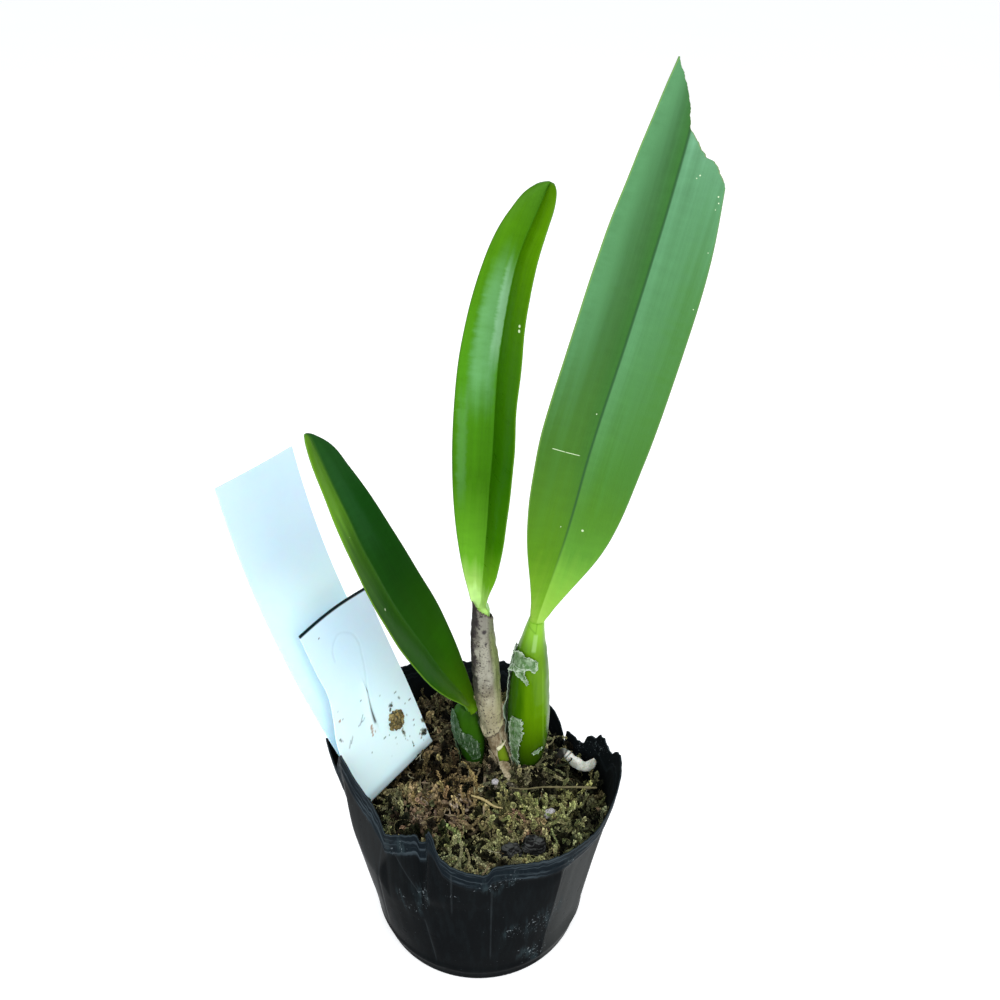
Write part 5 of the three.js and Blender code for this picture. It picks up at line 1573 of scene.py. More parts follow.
# %% Buried parts
rhizome_bark = grainy("rhizome_bark", (0.1, 0.06, 0.03), (0.32, 0.24, 0.14), (1.0, 5.0), 0.4,
                      stretch=(0.3, 1.2, 1.2), Roughness=0.8)
buried_coat = grainy("buried_root_coat", (0.45, 0.42, 0.33), (0.75, 0.73, 0.64), (0.5, 4.0), 0.3,
                     Roughness=0.78)
BURIED = ["root_left", "root_front", "root_front_right", "root_right", "root_rear", "rhizome"]
for node in BURIED:
    finish = rhizome_bark if node == "rhizome" else buried_coat
    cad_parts[node].data.materials.clear()
    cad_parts[node].data.materials.append(finish.material)
print("buried parts kept:", BURIED)

# %% [markdown]
# ## The moss
# The pot is filled with long-fibre moss: thousands of small feathery fronds, some fresh and
# yellow-green, most dried to olive and brown. Under them lies a bed, one closed lumpy body.
# The fronds are made by copying a few dozen templates to random places with whole-array
# turns. A frond is a stem wrapped in small leaflets, some hundred and fifty triangles.
# Its colour comes from where it lies: the moss is patchy, and each patch has its own tint.
# Painted shade darkens the lower layers, the fronds in the gaps and a few patches at the edge,
# and painted light brightens the top layer.

# %% The moss surface
MOSS_CENTRE = 56.0
MOSS_DOME = 3.5
MOSS_LUMP = 0.7
# [angle from +X, height of the moss where it meets the film]
MOSS_EDGE = np.array([
    [-180, 57], [-160, 57.6], [-140, 59.5], [-115, 62], [-90, 63], [-60, 61], [-35, 55],
    [-10, 49], [8, 44], [24, 39], [38, 37], [52, 41], [72, 50], [100, 55], [125, 57],
    [155, 56], [180, 57]])
# heaps of moss against the stems: [x, y, size, height]
MOSS_HEAPS = [[17.5, 0.5, 5.5, 4.6], [25, 5, 4.5, 2.0], [10, -0.5, 3.5, 1.6]]
# dark gaps between the clumps: [x, y, size, depth]
MOSS_GAPS = [[-0.8, -24.6, 3.6, 4.5], [27, 7, 9, 1.0], [-5.5, -21.5, 2.0, 2.0],
             [17.5, -25.5, 2.6, 2.2], [-13, -17.5, 2.2, 1.8], [12, -19, 2.0, 1.5],
             [31, -16, 2.4, 2.2], [-22, -8, 2.0, 1.5], [2, -16.5, 1.8, 1.4],
             [-9, 1.5, 2.0, 1.5], [36.5, -10.5, 3.0, 1.6]]


def bells(x, y, rows):
    """The sum of round bells over a plan: each row is [x, y, size, height]."""
    return sum(high * np.exp(-((x - at_x) ** 2 + (y - at_y) ** 2) / size**2)
               for at_x, at_y, size, high in rows)


def moss_height(x, y):
    """A low dome: the edge height counts more and more towards the film, plus soft lumps."""
    edge = np.interp(np.degrees(np.arctan2(y, x)), *MOSS_EDGE.T)
    reach = np.minimum(np.hypot(x, y) / (FOOT_RADIUS + FLARE * edge), 1.05)
    lumps = np.sin(0.33 * x + 1) * np.sin(0.29 * y + 2) + 0.5 * np.sin(0.7 * x - 0.5 * y)
    dome = MOSS_CENTRE + (edge - MOSS_CENTRE) * reach**MOSS_DOME
    return dome + MOSS_LUMP * lumps * (1 - reach**4) + bells(x, y, MOSS_HEAPS)


def keep_in_pot(points, gap=0.35):
    """Draws points in to the film's inner face, wherever they would come through it."""
    angle = np.degrees(np.arctan2(points[..., 1], points[..., 0]))
    radius = np.hypot(points[..., 0], points[..., 1])
    wall = film_cone(angle, points[..., 2]) + film_relief(angle, points[..., 2])
    most = np.maximum(wall - FILM_THICKNESS - gap, 1.0)
    out = points.copy()
    out[..., :2] *= np.minimum(1.0, most / np.maximum(radius, 1e-6))[..., None]
    return out


def keep_off_bulbs(points, gap=0.5):
    """Pushes points that lie inside a pseudobulb straight out to its skin."""
    out = points.copy()
    for bulb in BULBS.values():
        axis = np.array(bulb["axis"], float)
        at = [np.interp(out[..., 2], axis[:, 2], known)
              for known in (axis[:, 0], axis[:, 1], bulb["radius"])]
        centre = np.stack(at[:2], -1)
        off = out[..., :2] - centre
        far = np.maximum(np.linalg.norm(off, axis=-1), 1e-6)
        out[..., :2] = centre + off * np.maximum((at[2] + gap) / far, 1.0)[..., None]
    return out


FRONT_LEAN = np.radians(FRONT_HALF["lean"])


def label_side(points):
    """How far points lie in front of the label's front half (+) and behind it (-), and how
    far along its width and up it they are."""
    offset = points - LABEL_CORNER
    out, up = offset @ OUT_WAY, offset[..., 2]
    along = out * np.sin(FRONT_LEAN) + up * np.cos(FRONT_LEAN)
    return out * np.cos(FRONT_LEAN) - up * np.sin(FRONT_LEAN), offset @ ACROSS_WAY, along


BED_FOOT = 1.6


def bed_rings(rows=84, columns=260):
    """The bed from under its foot, up the film's inner face, and in over the top."""
    angle = np.linspace(-180, 180, columns, endpoint=False)[None, :]
    edge = np.interp(angle, *MOSS_EDGE.T) - 1.2
    turn = np.radians(angle)
    foot_z = np.full((2, columns), BED_FOOT)
    foot_r = np.array([14.0, 32.6])[:, None] + 0 * angle
    side_z = BED_FOOT + (edge - BED_FOOT) * np.linspace(0.04, 1, 14)[:, None]
    side_r = film_cone(angle, side_z) + film_relief(angle, side_z) - FILM_THICKNESS - 0.5
    side_r = np.maximum(side_r, 20)
    inward = np.linspace(1, 0, rows + 1)[1:-1, None] ** 0.8
    top_r = side_r[-1:] * inward
    top_x, top_y = top_r * np.cos(turn), top_r * np.sin(turn)
    flat = np.stack([top_x, top_y], -1)
    rough = 0.9 * ripple(flat, 5.5, 221) + 0.5 * ripple(flat, 2.4, 222)
    fade = 1 - ease(inward, 0.93, 1.0)
    sunk = rough - 1.3 * bells(top_x, top_y, MOSS_GAPS)
    top_z = moss_height(top_x, top_y) - 1.8 + sunk * fade
    radius = np.concatenate([foot_r, side_r, top_r])
    z = np.concatenate([foot_z, side_z, top_z])
    return np.stack([radius * np.cos(turn), radius * np.sin(turn), z], -1)


bed = keep_off_bulbs(bed_rings(), 0.25)
print("moss bed rows and columns:", bed.shape[:2])

# %% Where each tint of moss lies
# [x, y, size, colour]: patches of one tint, strongest in their middle. The near-black patches
# at (36, -10), (33, -17) and (28, 7) are painted shade, where the moss falls away at the right
# and in a low hollow at the rear right.
MOSS_TINTS = [
    [-9, -8, 9, (0.25, 0.185, 0.085)], [-14, 4, 10, (0.12, 0.092, 0.044)],
    [-27, -14, 9, (0.2, 0.205, 0.1)], [-33, -4, 8, (0.18, 0.16, 0.08)],
    [-17, -17, 6, (0.27, 0.185, 0.12)], [-6, -15, 6, (0.26, 0.2, 0.11)],
    [21, -10, 10, (0.32, 0.33, 0.13)], [8, -12, 7, (0.28, 0.28, 0.115)],
    [-2, -34, 8, (0.38, 0.37, 0.19)], [7, -29, 6, (0.34, 0.33, 0.15)],
    [-6, -27, 6, (0.28, 0.31, 0.12)], [26, -22, 7, (0.13, 0.135, 0.06)],
    [36, -10, 6, (0.03, 0.032, 0.016)], [34, -3, 5, (0.18, 0.18, 0.08)],
    [17, -22, 5, (0.11, 0.075, 0.045)], [18, -2, 6, (0.26, 0.24, 0.14)],
    [28, 7, 8, (0.03, 0.034, 0.016)], [18, 0, 5, (0.14, 0.12, 0.065)],
    [5, -3, 4, (0.22, 0.2, 0.13)], [33, -17, 5, (0.035, 0.038, 0.02)],
    [22.5, -12.5, 2.5, (0.3, 0.26, 0.24)], [-2, 20, 14, (0.07, 0.062, 0.034)],
    [-22, 18, 12, (0.12, 0.095, 0.05)], [18, 25, 12, (0.14, 0.14, 0.07)],
    [8, 32, 8, (0.22, 0.2, 0.09)], [-12, -26, 5, (0.16, 0.2, 0.07)],
]


def moss_tint(x, y):
    """The mean of all patch colours, each weighted by how near it is, in wobbling patches."""
    flat = np.stack([x, y], -1)
    x = x + 2.2 * ripple(flat, 7, 231)
    y = y + 2.2 * ripple(flat, 7, 232)
    weight = np.full(x.shape, 1e-3)
    total = weight[..., None] * np.array((0.15, 0.145, 0.07))
    for patch_x, patch_y, size, colour in MOSS_TINTS:
        near = np.exp(-((x - patch_x) ** 2 + (y - patch_y) ** 2) / (0.6 * size) ** 2)
        total += near[..., None] * np.array(colour)
        weight += near
    return total / weight[..., None]


# %% [markdown]
# Moss colour is laid down by the frond, so the finish only multiplies it by fine grain. The
# bed below is painted almost black, as shade, like the gaps between fronds.

# %% Moss finishes
moss = Finish("moss_fronds", Roughness=0.7, Specular_IOR_Level=0.08)
moss_grain = moss.noise(mm_place(moss), 1.3, 4.0, 0.7)
moss_tone = moss.mark("tint")
moss.colour = moss.add("ShaderNodeMix", {0: 1.0, 6: moss_tone, 7: (0.62, 0.6, 0.55)},
                       data_type="RGBA", blend_type="MULTIPLY").outputs[2]
moss.lay(moss.ease(moss_grain, 0.32, 0.62), moss_tone)
moss.paint()
moss.bump(moss_grain, 0.15, 0.5)

# painted shade: the bed is almost black, like the gaps between fronds
bed_skin = Finish("moss_bed", Roughness=0.9, Specular_IOR_Level=0.03)
bed_grain = bed_skin.noise(mm_place(bed_skin), 0.9, 6.0, 0.75)
bed_skin.colour = bed_skin.mix(bed_skin.ease(bed_grain, 0.4, 0.7), (0.004, 0.0035, 0.002),
                               (0.03, 0.026, 0.012))
bed_skin.paint()
bed_skin.bump(bed_grain, 1.2)
put_mesh("moss_body", skin_over(bed), bed_skin, "moss", "moss_bed")


# %% Fronds
GOLDEN = 2.39996


def wandering_line(bend, swing):
    """A line one unit long, made of equal steps: bend lifts each step and swing turns it."""
    way = np.stack([np.cos(bend) * np.cos(swing), np.cos(bend) * np.sin(swing),
                    np.sin(bend)], -1)
    return np.concatenate([np.zeros((1, 3)), np.cumsum(way[:-1], 0)]) / (len(bend) - 1)


def halved(quads):
    """Faces of four corners, each cut into two of three."""
    return [quads[:, [0, 1, 2]], quads[:, [0, 2, 3]]]


def frond(chance, leaflets=28, steps=7, reach=0.15):
    """A template one unit long: a stem of three sides that bends and curls, wrapped closely
    in leaflets, each a golden angle further round than the last, so that it looks like a
    plaited cord with a bushy head. A leaflet is a thin wedge of four faces: its foot on the
    stem, two shoulders and a tip that reaches forward. The last mark is 0 at the stem and 1
    at the tips."""
    t = np.linspace(0, 1, steps)
    bend = chance.uniform(-0.8, 0.4) + chance.uniform(-2.2, 2.2) * t
    swing = chance.uniform(-2.8, 2.8) * t + 0.7 * np.sin(chance.uniform(2, 6) * t)
    stem = wandering_line(bend, swing)
    rings = rings_along(stem, chance.uniform(0.05, 0.075) * (1 - 0.4 * t), 3)
    last = 3 * steps - 1
    faces = halved(grid_faces(steps, 3, round_columns=True))
    faces += [np.array([[0, 2, 1]]), np.array([[last - 2, last - 1, last]])]
    number = np.arange(leaflets)
    share = 0.02 + 0.95 * number / leaflets
    line = path_through(stem)
    foot = line(share)
    ahead = unit(line(np.minimum(share + 0.05, 1.0)) - foot + 1e-9)
    level = unit(np.cross(ahead, [0.05, 0.1, 1.0]))
    upright = np.cross(ahead, level)
    turn = (number * GOLDEN + chance.uniform(0, 6))[:, None]
    out = level * np.cos(turn) + upright * np.sin(turn)
    sideways = np.cross(ahead, out)
    reach = reach * chance.uniform(0.82, 1.18) * (0.85 + 0.4 * ease(share, 0.6, 0.95))
    reach = reach * chance.uniform(0.8, 1.2, leaflets)
    width = chance.uniform(0.75, 1.1)
    lean = chance.uniform(0.5, 0.9) + chance.uniform(-0.2, 0.2, leaflets)
    reach, lean = reach[:, None], lean[:, None]
    tip_way = ahead * np.cos(lean) + out * np.sin(lean)
    half = sideways * reach * width / 2
    curl = (out * np.cos(lean) - ahead * np.sin(lean)) * reach
    middle = foot + tip_way * reach * 0.4 + curl * 0.25
    leaf = np.stack([foot, middle - half, middle + half, foot + tip_way * reach], 1)
    order = np.array([[0, 1, 2], [0, 3, 1], [0, 2, 3], [1, 3, 2]])
    faces.append((order[None] + 3 * steps + 4 * number[:, None, None]).reshape(-1, 3))
    tips = np.array([0.05, 0.55, 0.55, 1.0]) * (0.75 + 0.45 * share)[:, None]
    return (np.concatenate([rings.reshape(-1, 3), leaf.reshape(-1, 3)]),
            np.concatenate(faces), np.concatenate([np.full(3 * steps, 0.2), tips.ravel()]))


def turns(yaw, pitch, roll):
    """Rotation matrices (n, 3, 3): roll about x, then pitch about y, then yaw about z."""
    zero, one = 0 * yaw, 0 * yaw + 1
    cy, sy, cp, sp = np.cos(yaw), np.sin(yaw), np.cos(pitch), np.sin(pitch)
    cr, sr = np.cos(roll), np.sin(roll)
    about_z = np.stack([cy, -sy, zero, sy, cy, zero, zero, zero, one], -1).reshape(-1, 3, 3)
    about_y = np.stack([cp, zero, -sp, zero, one, zero, sp, zero, cp], -1).reshape(-1, 3, 3)
    about_x = np.stack([one, zero, zero, zero, cr, -sr, zero, sr, cr], -1).reshape(-1, 3, 3)
    return about_z @ about_y @ about_x


def copies(template, places, turn, scale, colour, contrast=0.6):
    """One shape from many copies of a template, each turned, scaled and moved. Its points take
    the copy's colour, darker near the stem as painted shade and lighter at the tips, partly as
    painted light."""
    points, faces, tips = template
    moved = np.einsum("nij,pj->npi", turn * scale[:, None, None], points) + places[:, None]
    index = faces[None] + (np.arange(len(places)) * len(points))[:, None, None]
    shade = 1 - contrast * 0.55 + contrast * tips
    tint = colour[:, None] * shade[None, :, None]
    return moved, index.reshape(-1, faces.shape[1]), tint.reshape(-1, 3)


# what lies open on the moss: [x, y, lowest z that hides it, size]
OPEN_BITS = np.concatenate([
    [[10.6, -31.7, 61, 3.0], [16.9, -30.1, 61, 3.0], [22.4, -13.9, 58, 1.9], [38, 10, 52, 1.8],
     [35.7, 10.5, 50, 1.8], [33.2, 12, 50, 1.6], [-5.5, -0.5, 60, 1.5], [2.2, -1.5, 60, 2.2],
     [5.4, -4.5, 59.5, 1.4], [9.6, -2, 59.8, 1.6], [9.9, -3.8, 59.6, 1.0], [9, 2.5, 60.5, 2.2],
     [-2.4, -24.8, 58.5, 2.3], [1.2, -24.8, 58.5, 2.5], [32, 8, 50, 2.0], [27, 4, 55, 1.4],
     [25.1, 27.2, 55, 3.0], [25.6, 22.6, 55, 2.6], [13.5, 3, 60.6, 2.6], [18, 3, 60.4, 2.6],
     [-5, 6, 60.8, 2.4], [-1.5, 6, 60.4, 2.4]],
    np.linspace([-33.6, -9.8, 59.8, 1.3], [-18.2, 12.8, 59.8, 1.3], 14),
    np.linspace([-2, -9.8, 58.6, 0.8], [8.2, -15.2, 58.6, 0.8], 10),
    np.linspace([10.5, -6.6, 59.0, 0.5], [38, -2.6, 55.4, 0.5], 12)])


def leaves_open(moved):
    """Whether copies hide none of the open bits, seen slantwise from the front and above:
    a point hides what lies 0.89 of its height behind it."""
    spots = OPEN_BITS[:, None, None]
    above = moved[None, ..., 2] - spots[..., 2]
    far_x = moved[None, ..., 0] - spots[..., 0]
    far_y = moved[None, ..., 1] + 0.89 * above - spots[..., 1]
    return ~((np.hypot(far_x, far_y) < spots[..., 3]) & (above > 0)).any((0, 2))


MOSS_REACH = (0.0, 0.0, 44.0)


# the two places where no frond starts: [x, y, half size along x, half size along y]
BARE_SPOTS = ((-0.7, -25.0, 4.6, 3.8), (33.5, 11.0, 7.5, 7.0))


def scatter(chance, count, patch=MOSS_REACH):
    """Random spots in a round patch of [x, y, radius] on the moss, away from the bulbs, the
    label and the bare spots. Twice as many are drawn as are kept."""
    far = patch[2] * np.sqrt(chance.uniform(0, 1, count * 2))
    turn = chance.uniform(0, 2 * np.pi, count * 2)
    x, y = patch[0] + far * np.cos(turn), patch[1] + far * np.sin(turn)
    far = np.hypot(x, y)
    z = moss_height(x, y)
    angle = np.degrees(np.arctan2(y, x))
    keep = far < film_cone(angle, z) - 1.2
    for bulb in BULBS.values():
        foot = bulb["axis"][0]
        keep &= np.hypot(x - foot[0], y - foot[1]) > bulb["radius"][1] - 0.6
    front, across, along = label_side(np.stack([x, y, z], -1))
    under = (across > -1.5) & (across < LABEL_WIDTH + 2) & (along > -3)
    keep &= ~(under & (front > -1.5) & (front < 2.2))
    for gap_x, gap_y, size_x, size_y in BARE_SPOTS:
        far = np.hypot((x - gap_x) / size_x, (y - gap_y) / size_y)
        keep &= far > chance.uniform(0.8, 1.1, len(x))
    return np.stack([x, y, z], -1)[keep][:count]


# %% Scatter the fronds
def in_front_of_label(moved, places):
    """Keeps copies that start in front of the label from passing through it."""
    sign = np.where(label_side(places)[0] > 0, 1.0, -1.0)[:, None]
    front, across, along = label_side(moved)
    near = (across > -2) & (across < LABEL_WIDTH + 2) & (along > -3)
    short = np.maximum(0.7 - front * sign, 0) * near
    normal = OUT_WAY * np.cos(FRONT_LEAN) + np.array([0, 0, -np.sin(FRONT_LEAN)])
    return moved + (short * sign)[..., None] * normal


def grow(name, template_maker, count, size, pitch, seed, lift, kinds=16, contrast=0.6,
         colour_of=None, light=1.0, clumped=0.0, patch=MOSS_REACH):
    """Scatters copies of several templates and joins them into one piece. Clumped copies
    are thinned out where a slow ripple over the moss is low, so dark gaps stay between."""
    chance = np.random.default_rng(seed)
    shapes = []
    for kind in range(kinds):
        template = template_maker(chance)
        places = scatter(chance, count // kinds, patch)
        dense = ripple(places[:, :2], 5.2, 233) + 0.6 * ripple(places[:, :2], 2.6, 234)
        places = places[dense > clumped - 1.0 + chance.normal(0, 0.25, len(places))]
        number = len(places)
        dig = bells(places[:, 0], places[:, 1], MOSS_GAPS)
        places[:, 2] += chance.uniform(lift[0], lift[1], number) - 1.3 * dig
        scale = chance.uniform(*size, number) * (1 - 0.35 * ease(dig, 0.5, 2.5))
        turn = turns(chance.uniform(0, 2 * np.pi, number), chance.uniform(*pitch, number),
                     chance.uniform(-1.2, 1.2, number))
        if colour_of:
            colour = colour_of(chance, number)
        else:
            # light paints the layer's shade or light: darker for the low layers, brighter for the
            # top one
            colour = light * moss_tint(places[:, 0], places[:, 1])
            for spread, shape in ((0.5, (number, 1)), (0.05, (number, 3))):
                colour = colour * np.exp(chance.normal(0, spread, shape))
            colour = colour * np.minimum(1, 0.5 / colour.max(1, keepdims=True))
            # painted shade: fronds sunk in the gaps are darker
            colour = colour * (1 - 0.8 * ease(dig, 0.3, 2.2))[:, None]
        moved, faces, tint = copies(template, places, turn, scale, colour, contrast)
        moved = in_front_of_label(moved, places)
        moved = keep_off_bulbs(keep_in_pot(moved), 0.25)
        kept = leaves_open(moved)
        faces = faces.reshape(number, -1, 3)[:kept.sum()].reshape(-1, 3)
        tint = tint.reshape(number, -1, 3)[kept].reshape(-1, 3)
        shapes.append((moved[kept].reshape(-1, 3), [faces], {"tint": tint}))
    put_mesh(name, join_shapes(shapes), moss, "moss", "moss_bed", sharp=None, smooth=False)


# [piece, seed, how many, lowest and highest lift, light, clumping, reach of the leaflets];
# light is painted shade on the low layers and painted light on the top one
LAYERS = [[1, 241, 1050, -2.0, -0.8, 0.07, 0.0, 0.17],
          [2, 242, 1400, -1.2, 0.2, 0.88, 0.8, 0.14],
          [3, 243, 1500, -0.4, 1.0, 2.6, 0.9, 0.095]]
for part, seed, many, low, high, light, clumped, reach in LAYERS:
    grow(f"moss_fronds_{part}", lambda chance: frond(chance, reach=reach), many, (5.5, 10.5),
         (-0.35, 0.35), seed, (low, high), contrast=1.6, light=light, clumped=clumped)


# %% [markdown]
# Fine fibres, flakes of dead leaf and grit lie between and on the fronds. They use the same
# scattering, with thinner and flatter templates.


# %% Fibres, flakes and beads
def fibre(chance, steps=8, sides=4):
    """A thin hair of one unit that wanders: its direction drifts by slow sine waves."""
    t = np.linspace(0, 1, steps)
    bend = chance.uniform(-0.3, 0.5) + 0.8 * np.sin(chance.uniform(1, 5) * t + chance.uniform(0, 6))
    swing = 1.3 * np.sin(chance.uniform(1, 5) * t + chance.uniform(0, 6))
    line = wandering_line(bend, swing)
    rings = rings_along(line, chance.uniform(0.009, 0.02) * (1 - 0.5 * t), sides)
    points, (quads, foot, head) = skin_over(rings)
    return points, np.concatenate([*halved(quads), foot, head]), np.full(len(points), 0.8)


def bead(chance, flat=(0.5, 1.0), sides=6):
    """A rough pebble one unit across: three rings of uneven radius, squashed one way."""
    turn = 2 * np.pi * np.arange(sides) / sides
    height = np.array([-0.3, 0.02, 0.3])[:, None]
    radius = np.array([0.33, 0.5, 0.3])[:, None] * chance.uniform(0.7, 1.2, (3, sides))
    rings = np.stack([radius * np.cos(turn), radius * np.sin(turn),
                      height + 0 * turn + chance.uniform(-0.06, 0.06, (3, sides))], -1)
    points, (quads, foot, head) = skin_over(rings)
    points[-2:, 2] = (-0.42, 0.42)
    points = points * [1.0, chance.uniform(0.6, 1.0), chance.uniform(*flat)]
    faces = np.concatenate([*halved(quads), foot, head])
    return points, faces, chance.uniform(0.4, 1.0, len(points))


def flake(chance):
    """A thin scrap, longer than it is wide."""
    points, faces, tips = bead(chance, flat=(0.08, 0.25))
    return points * [1.3, chance.uniform(0.3, 0.7), 1.0], faces, tips


def from_palette(*palette):
    """Colours drawn at random from a few, each a little lighter or darker."""
    def draw(chance, number):
        chosen = np.array(palette)[chance.integers(0, len(palette), number)]
        return chosen * np.exp(chance.normal(0, 0.25, (number, 1)))
    return draw


grow("moss_fibres", fibre, 240, (4.0, 10.0), (-0.2, 0.4), 251, (-0.6, 0.9), kinds=20,
     contrast=0.2,
     colour_of=from_palette((0.34, 0.3, 0.16), (0.17, 0.12, 0.06), (0.5, 0.48, 0.33),
                            (0.34, 0.33, 0.16), (0.09, 0.07, 0.04)))
grow("moss_flakes", flake, 500, (0.9, 2.4), (-0.6, 0.9), 252, (-0.8, 1.1), kinds=20,
     contrast=0.7,
     colour_of=from_palette((0.13, 0.09, 0.045), (0.2, 0.14, 0.08), (0.3, 0.24, 0.15),
                            (0.05, 0.04, 0.025), (0.34, 0.32, 0.18)))
grow("papery_flakes", flake, 220, (1.2, 3.0), (-0.9, 0.9), 253, (-0.3, 1.2), kinds=10,
     contrast=0.9, patch=(-13.0, -13.0, 11.0),
     colour_of=from_palette((0.26, 0.2, 0.13), (0.2, 0.14, 0.09), (0.42, 0.34, 0.26),
                            (0.09, 0.06, 0.045), (0.24, 0.19, 0.11)))

# %% [markdown]
# ## Bits on the moss
# Two chips of charcoal, a grain of perlite, a smaller pale grit, a twig and a golden straw lie
# on the moss. The chips split in layers, so their radius steps along one direction.


# %% Lumps and sticks
def lump(half, tilt, at, seed, steps=36, sides=54, rough=0.1, layers=0.0, boxy=0.6):
    """A closed lump: a ball whose section is pulled towards a box, roughened, scaled to three
    half sizes, turned and moved. Layers add thin ledges along its height."""
    lift = np.linspace(-1, 1, steps + 2)[1:-1, None]
    turn = (2 * np.pi * np.arange(sides) / sides)[None, :]
    ring = (1 - np.abs(lift) ** 2.6) ** 0.5
    square = (np.abs(np.cos(turn)) ** 4 + np.abs(np.sin(turn)) ** 4) ** (-0.25 * boxy)
    ball = np.stack([ring * square * np.cos(turn), ring * square * np.sin(turn),
                     lift + 0 * turn], -1)
    swell = 1 + rough * ripple(ball, 1.3, seed) + 0.5 * rough * ripple(ball, 0.45, seed + 1)
    ledge = layers * np.sign(np.sin(lift * 11 + 0.8 * ripple(ball[..., :2], 1.5, seed + 2)))
    ball[..., :2] *= (swell + ledge)[..., None]
    ball[..., 2] *= swell
    spin = turns(*[np.radians(np.array([angle])) for angle in tilt])[0]
    rings = (ball * half) @ spin.T + np.array(at)
    return skin_over(rings)


def stick(start, end, girth, seed, bow=0.6, steps=60, sides=10):
    """A thin stick that lies on the moss from one place to another, bent a little."""
    share = np.linspace(0, 1, steps)
    way = unit(np.array(end, float) - np.array(start))
    line = np.array(start) + (np.array(end) - np.array(start)) * share[:, None]
    line = line + bow * ripple(share[:, None] * 10, 6, seed)[:, None] * [-way[1], way[0], 0.3]
    radius = smooth_knots(share, girth) * (1 + 0.12 * ripple(share[:, None] * 20, 2.0, seed + 1))
    return skin_over(rings_along(line, radius, sides))


charcoal = Finish("charcoal_bits", Roughness=0.62, Specular_IOR_Level=0.1)
charcoal_place = mm_place(charcoal)
charcoal_layers = charcoal.noise(charcoal.stretch(charcoal_place, (0.25, 0.4, 2.2)), 1.0, 4.0)
charcoal.colour = charcoal.mix(charcoal.ease(charcoal_layers, 0.45, 0.6), (0.004, 0.004, 0.004),
                               (0.06, 0.062, 0.06))
charcoal_dust = charcoal.ease(charcoal.noise(charcoal_place, 1.8, 4.0, 0.7), 0.66, 0.72)
charcoal.lay(charcoal_dust, (0.1, 0.09, 0.065), 0.4)
charcoal.paint()
charcoal.bump(charcoal_layers, 0.5, 0.9)
put_mesh("charcoal_chip_left", lump((3.0, 2.5, 2.4), (15, 6, 4), (10.2, -31.7, 59.0), 261,
                                    rough=0.16, layers=0.06),
         charcoal, "charcoal", "charcoal_left")
put_mesh("charcoal_chip_right", lump((3.2, 2.6, 3.0), (-12, -5, 5), (17.2, -30.1, 59.9), 262,
                                     rough=0.12, layers=0.07, boxy=1.0),
         charcoal, "charcoal", "charcoal_right")

perlite = Finish("perlite", Roughness=0.85, Specular_IOR_Level=0.25)
perlite_pits = perlite.cells(mm_place(perlite), 1.7)
perlite.colour = perlite.mix(perlite.ease(perlite_pits, 0.1, 0.5), (0.22, 0.2, 0.2),
                             (0.52, 0.49, 0.51))
perlite.paint()
perlite.bump(perlite_pits, 0.5, 0.9)
GRAIN_AT = (22.4, -13.9)
put_mesh("pale_grit", lump((1.1, 0.9, 1.0), (20, 0, 10), (5.4, -4.5, 59.6), 265, steps=16,
                           sides=24, rough=0.14, boxy=0.2), perlite, "perlite", "moss_bed")
put_mesh("perlite_bit", lump((1.9, 1.5, 1.25), (30, 10, 0),
                             (*GRAIN_AT, float(moss_height(*np.array(GRAIN_AT))) + 0.5), 263,
                             rough=0.14, boxy=0.2), perlite, "perlite", "perlite_grain")

twig = grainy("twig_bark", (0.06, 0.05, 0.022), (0.24, 0.21, 0.1), (1.0, 4.0), 0.2, 0.7,
              (0.15, 2.0, 2.0), Roughness=0.7, Specular_IOR_Level=0.3)
TWIG_GIRTH = [[0, 0.2], [0.2, 0.26], [0.6, 0.34], [0.75, 0.32], [0.9, 0.42], [1, 0.25]]
put_mesh("twig_stick", stick([10.5, -6.9, 59.4], [38.3, -3.0, 55.6], TWIG_GIRTH, 271, bow=0.25),
         twig, "twig_wood", "twig")
straw = grainy("golden_straw", (0.3, 0.22, 0.08), (0.56, 0.46, 0.22), (1.0, 4.0), 0.15, 0.6,
               (0.3, 1.6, 1.6), Roughness=0.45, Specular_IOR_Level=0.45)
STRAW_GIRTH = [[0, 0.25], [0.3, 0.45], [0.7, 0.4], [1, 0.15]]
put_mesh("straw_stick", stick([-2, -9.8, 59.4], [7.8, -15.0, 58.9], STRAW_GIRTH, 275, bow=0.3),
         straw, "straw_gold", "straw")

# %% [markdown]
# ## Soil on the label
# A clump of soil sticks to the front half, with a few loose crumbs round it. It is a heap of
# small beads, thickest in the middle, set by their place on the label.


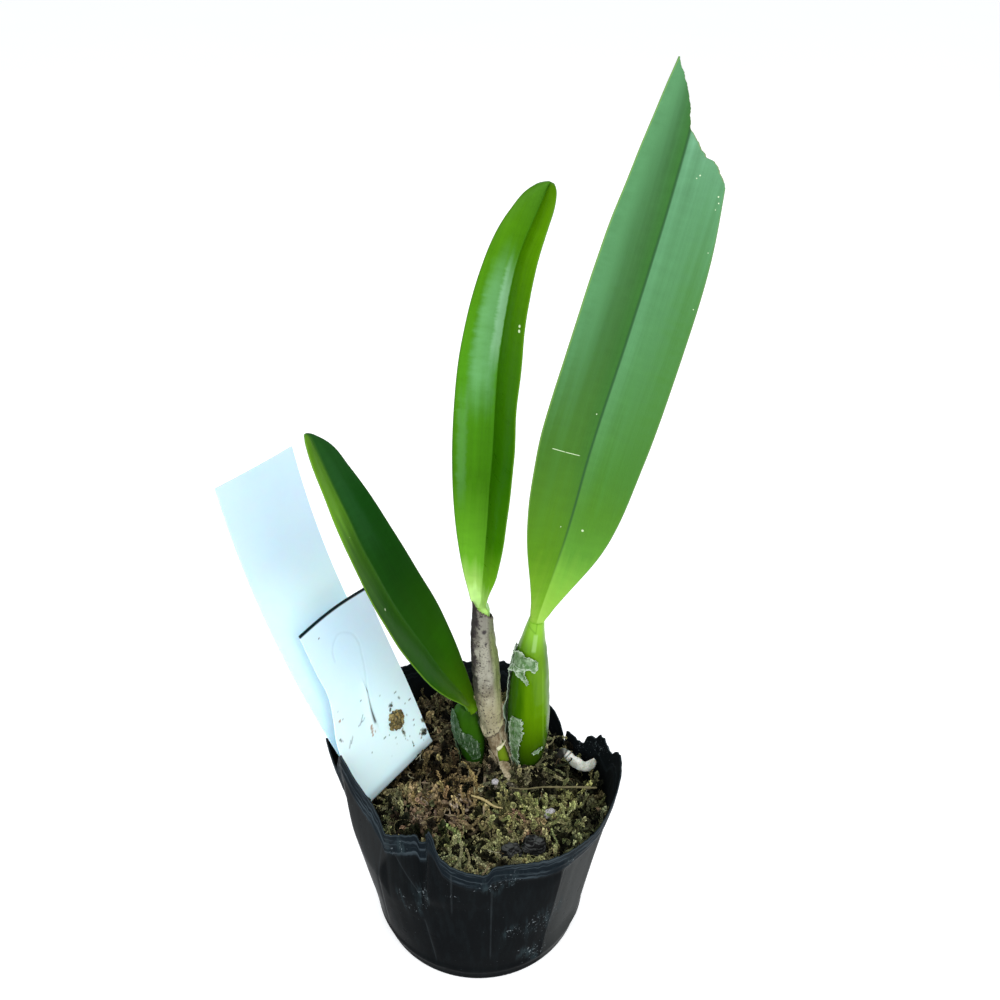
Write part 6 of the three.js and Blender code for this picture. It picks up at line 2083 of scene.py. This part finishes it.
# %% Soil crumbs
def label_place(across, up, lift):
    """Points on the label's front half: across and up it in millimetres, and lift off it."""
    out, rise, lean = half_line(FRONT_HALF, up)
    out = out + (FOLD_RADIUS + lift) * np.cos(lean)
    rise = rise - (FOLD_RADIUS + lift) * np.sin(lean)
    place = LABEL_CORNER + out[:, None] * OUT_WAY
    place = place + (across + wander(across, up) + FRONT_HALF["skew"] * up)[:, None] * ACROSS_WAY
    place[:, 2] = LABEL_CORNER[2] + rise
    return place


def soil_crumbs():
    """The clump, twelve kinds of bead that lie thickest in its middle, and loose crumbs."""
    chance = np.random.default_rng(281)
    shapes = []
    for kind in range(12):
        number = 14
        far = np.sqrt(chance.uniform(0, 1, number))
        turn = chance.uniform(0, 2 * np.pi, number)
        across = 22.0 + 2.9 * far * np.cos(turn) + 0.3 * np.sin(3 * turn) * far
        up = 14.2 + 2.9 * far * np.sin(turn)
        lift = 0.35 + 1.3 * (1 - far**2) * chance.uniform(0.5, 1.0, number)
        colour = from_palette((0.2, 0.15, 0.055), (0.12, 0.1, 0.045), (0.32, 0.26, 0.11),
                              (0.22, 0.17, 0.08), (0.06, 0.06, 0.035))(chance, number)
        places = label_place(across, up, lift)
        turn = turns(*chance.uniform(0, 6.28, (3, number)))
        moved, faces, tint = copies(bead(chance), places, turn,
                                    chance.uniform(0.7, 1.9, number), colour)
        shapes.append((moved.reshape(-1, 3), [faces], {"tint": tint}))
    loose = np.array([[22.4, 19.2], [21.7, 18.6], [29.2, 4.0], [30.3, 4.4], [29.8, 3.6],
                      [30.9, 7.6], [23.9, 3.1], [22.8, 9.4]])
    size = np.array([1.1, 0.7, 1.4, 1.4, 1.1, 0.9, 0.7, 0.6])
    places = label_place(loose[:, 0], loose[:, 1], 0.3 + 0.2 * size)
    turn = turns(*chance.uniform(0, 6.28, (3, len(loose))))
    colour = from_palette((0.03, 0.035, 0.03), (0.06, 0.07, 0.04), (0.08, 0.085, 0.06))
    moved, faces, tint = copies(bead(chance), places, turn, size, colour(chance, len(loose)))
    shapes.append((moved.reshape(-1, 3), [faces], {"tint": tint}))
    return join_shapes(shapes)


put_mesh("soil_clump", soil_crumbs(), moss, "soil", "label_crumb", sharp=None, smooth=False)
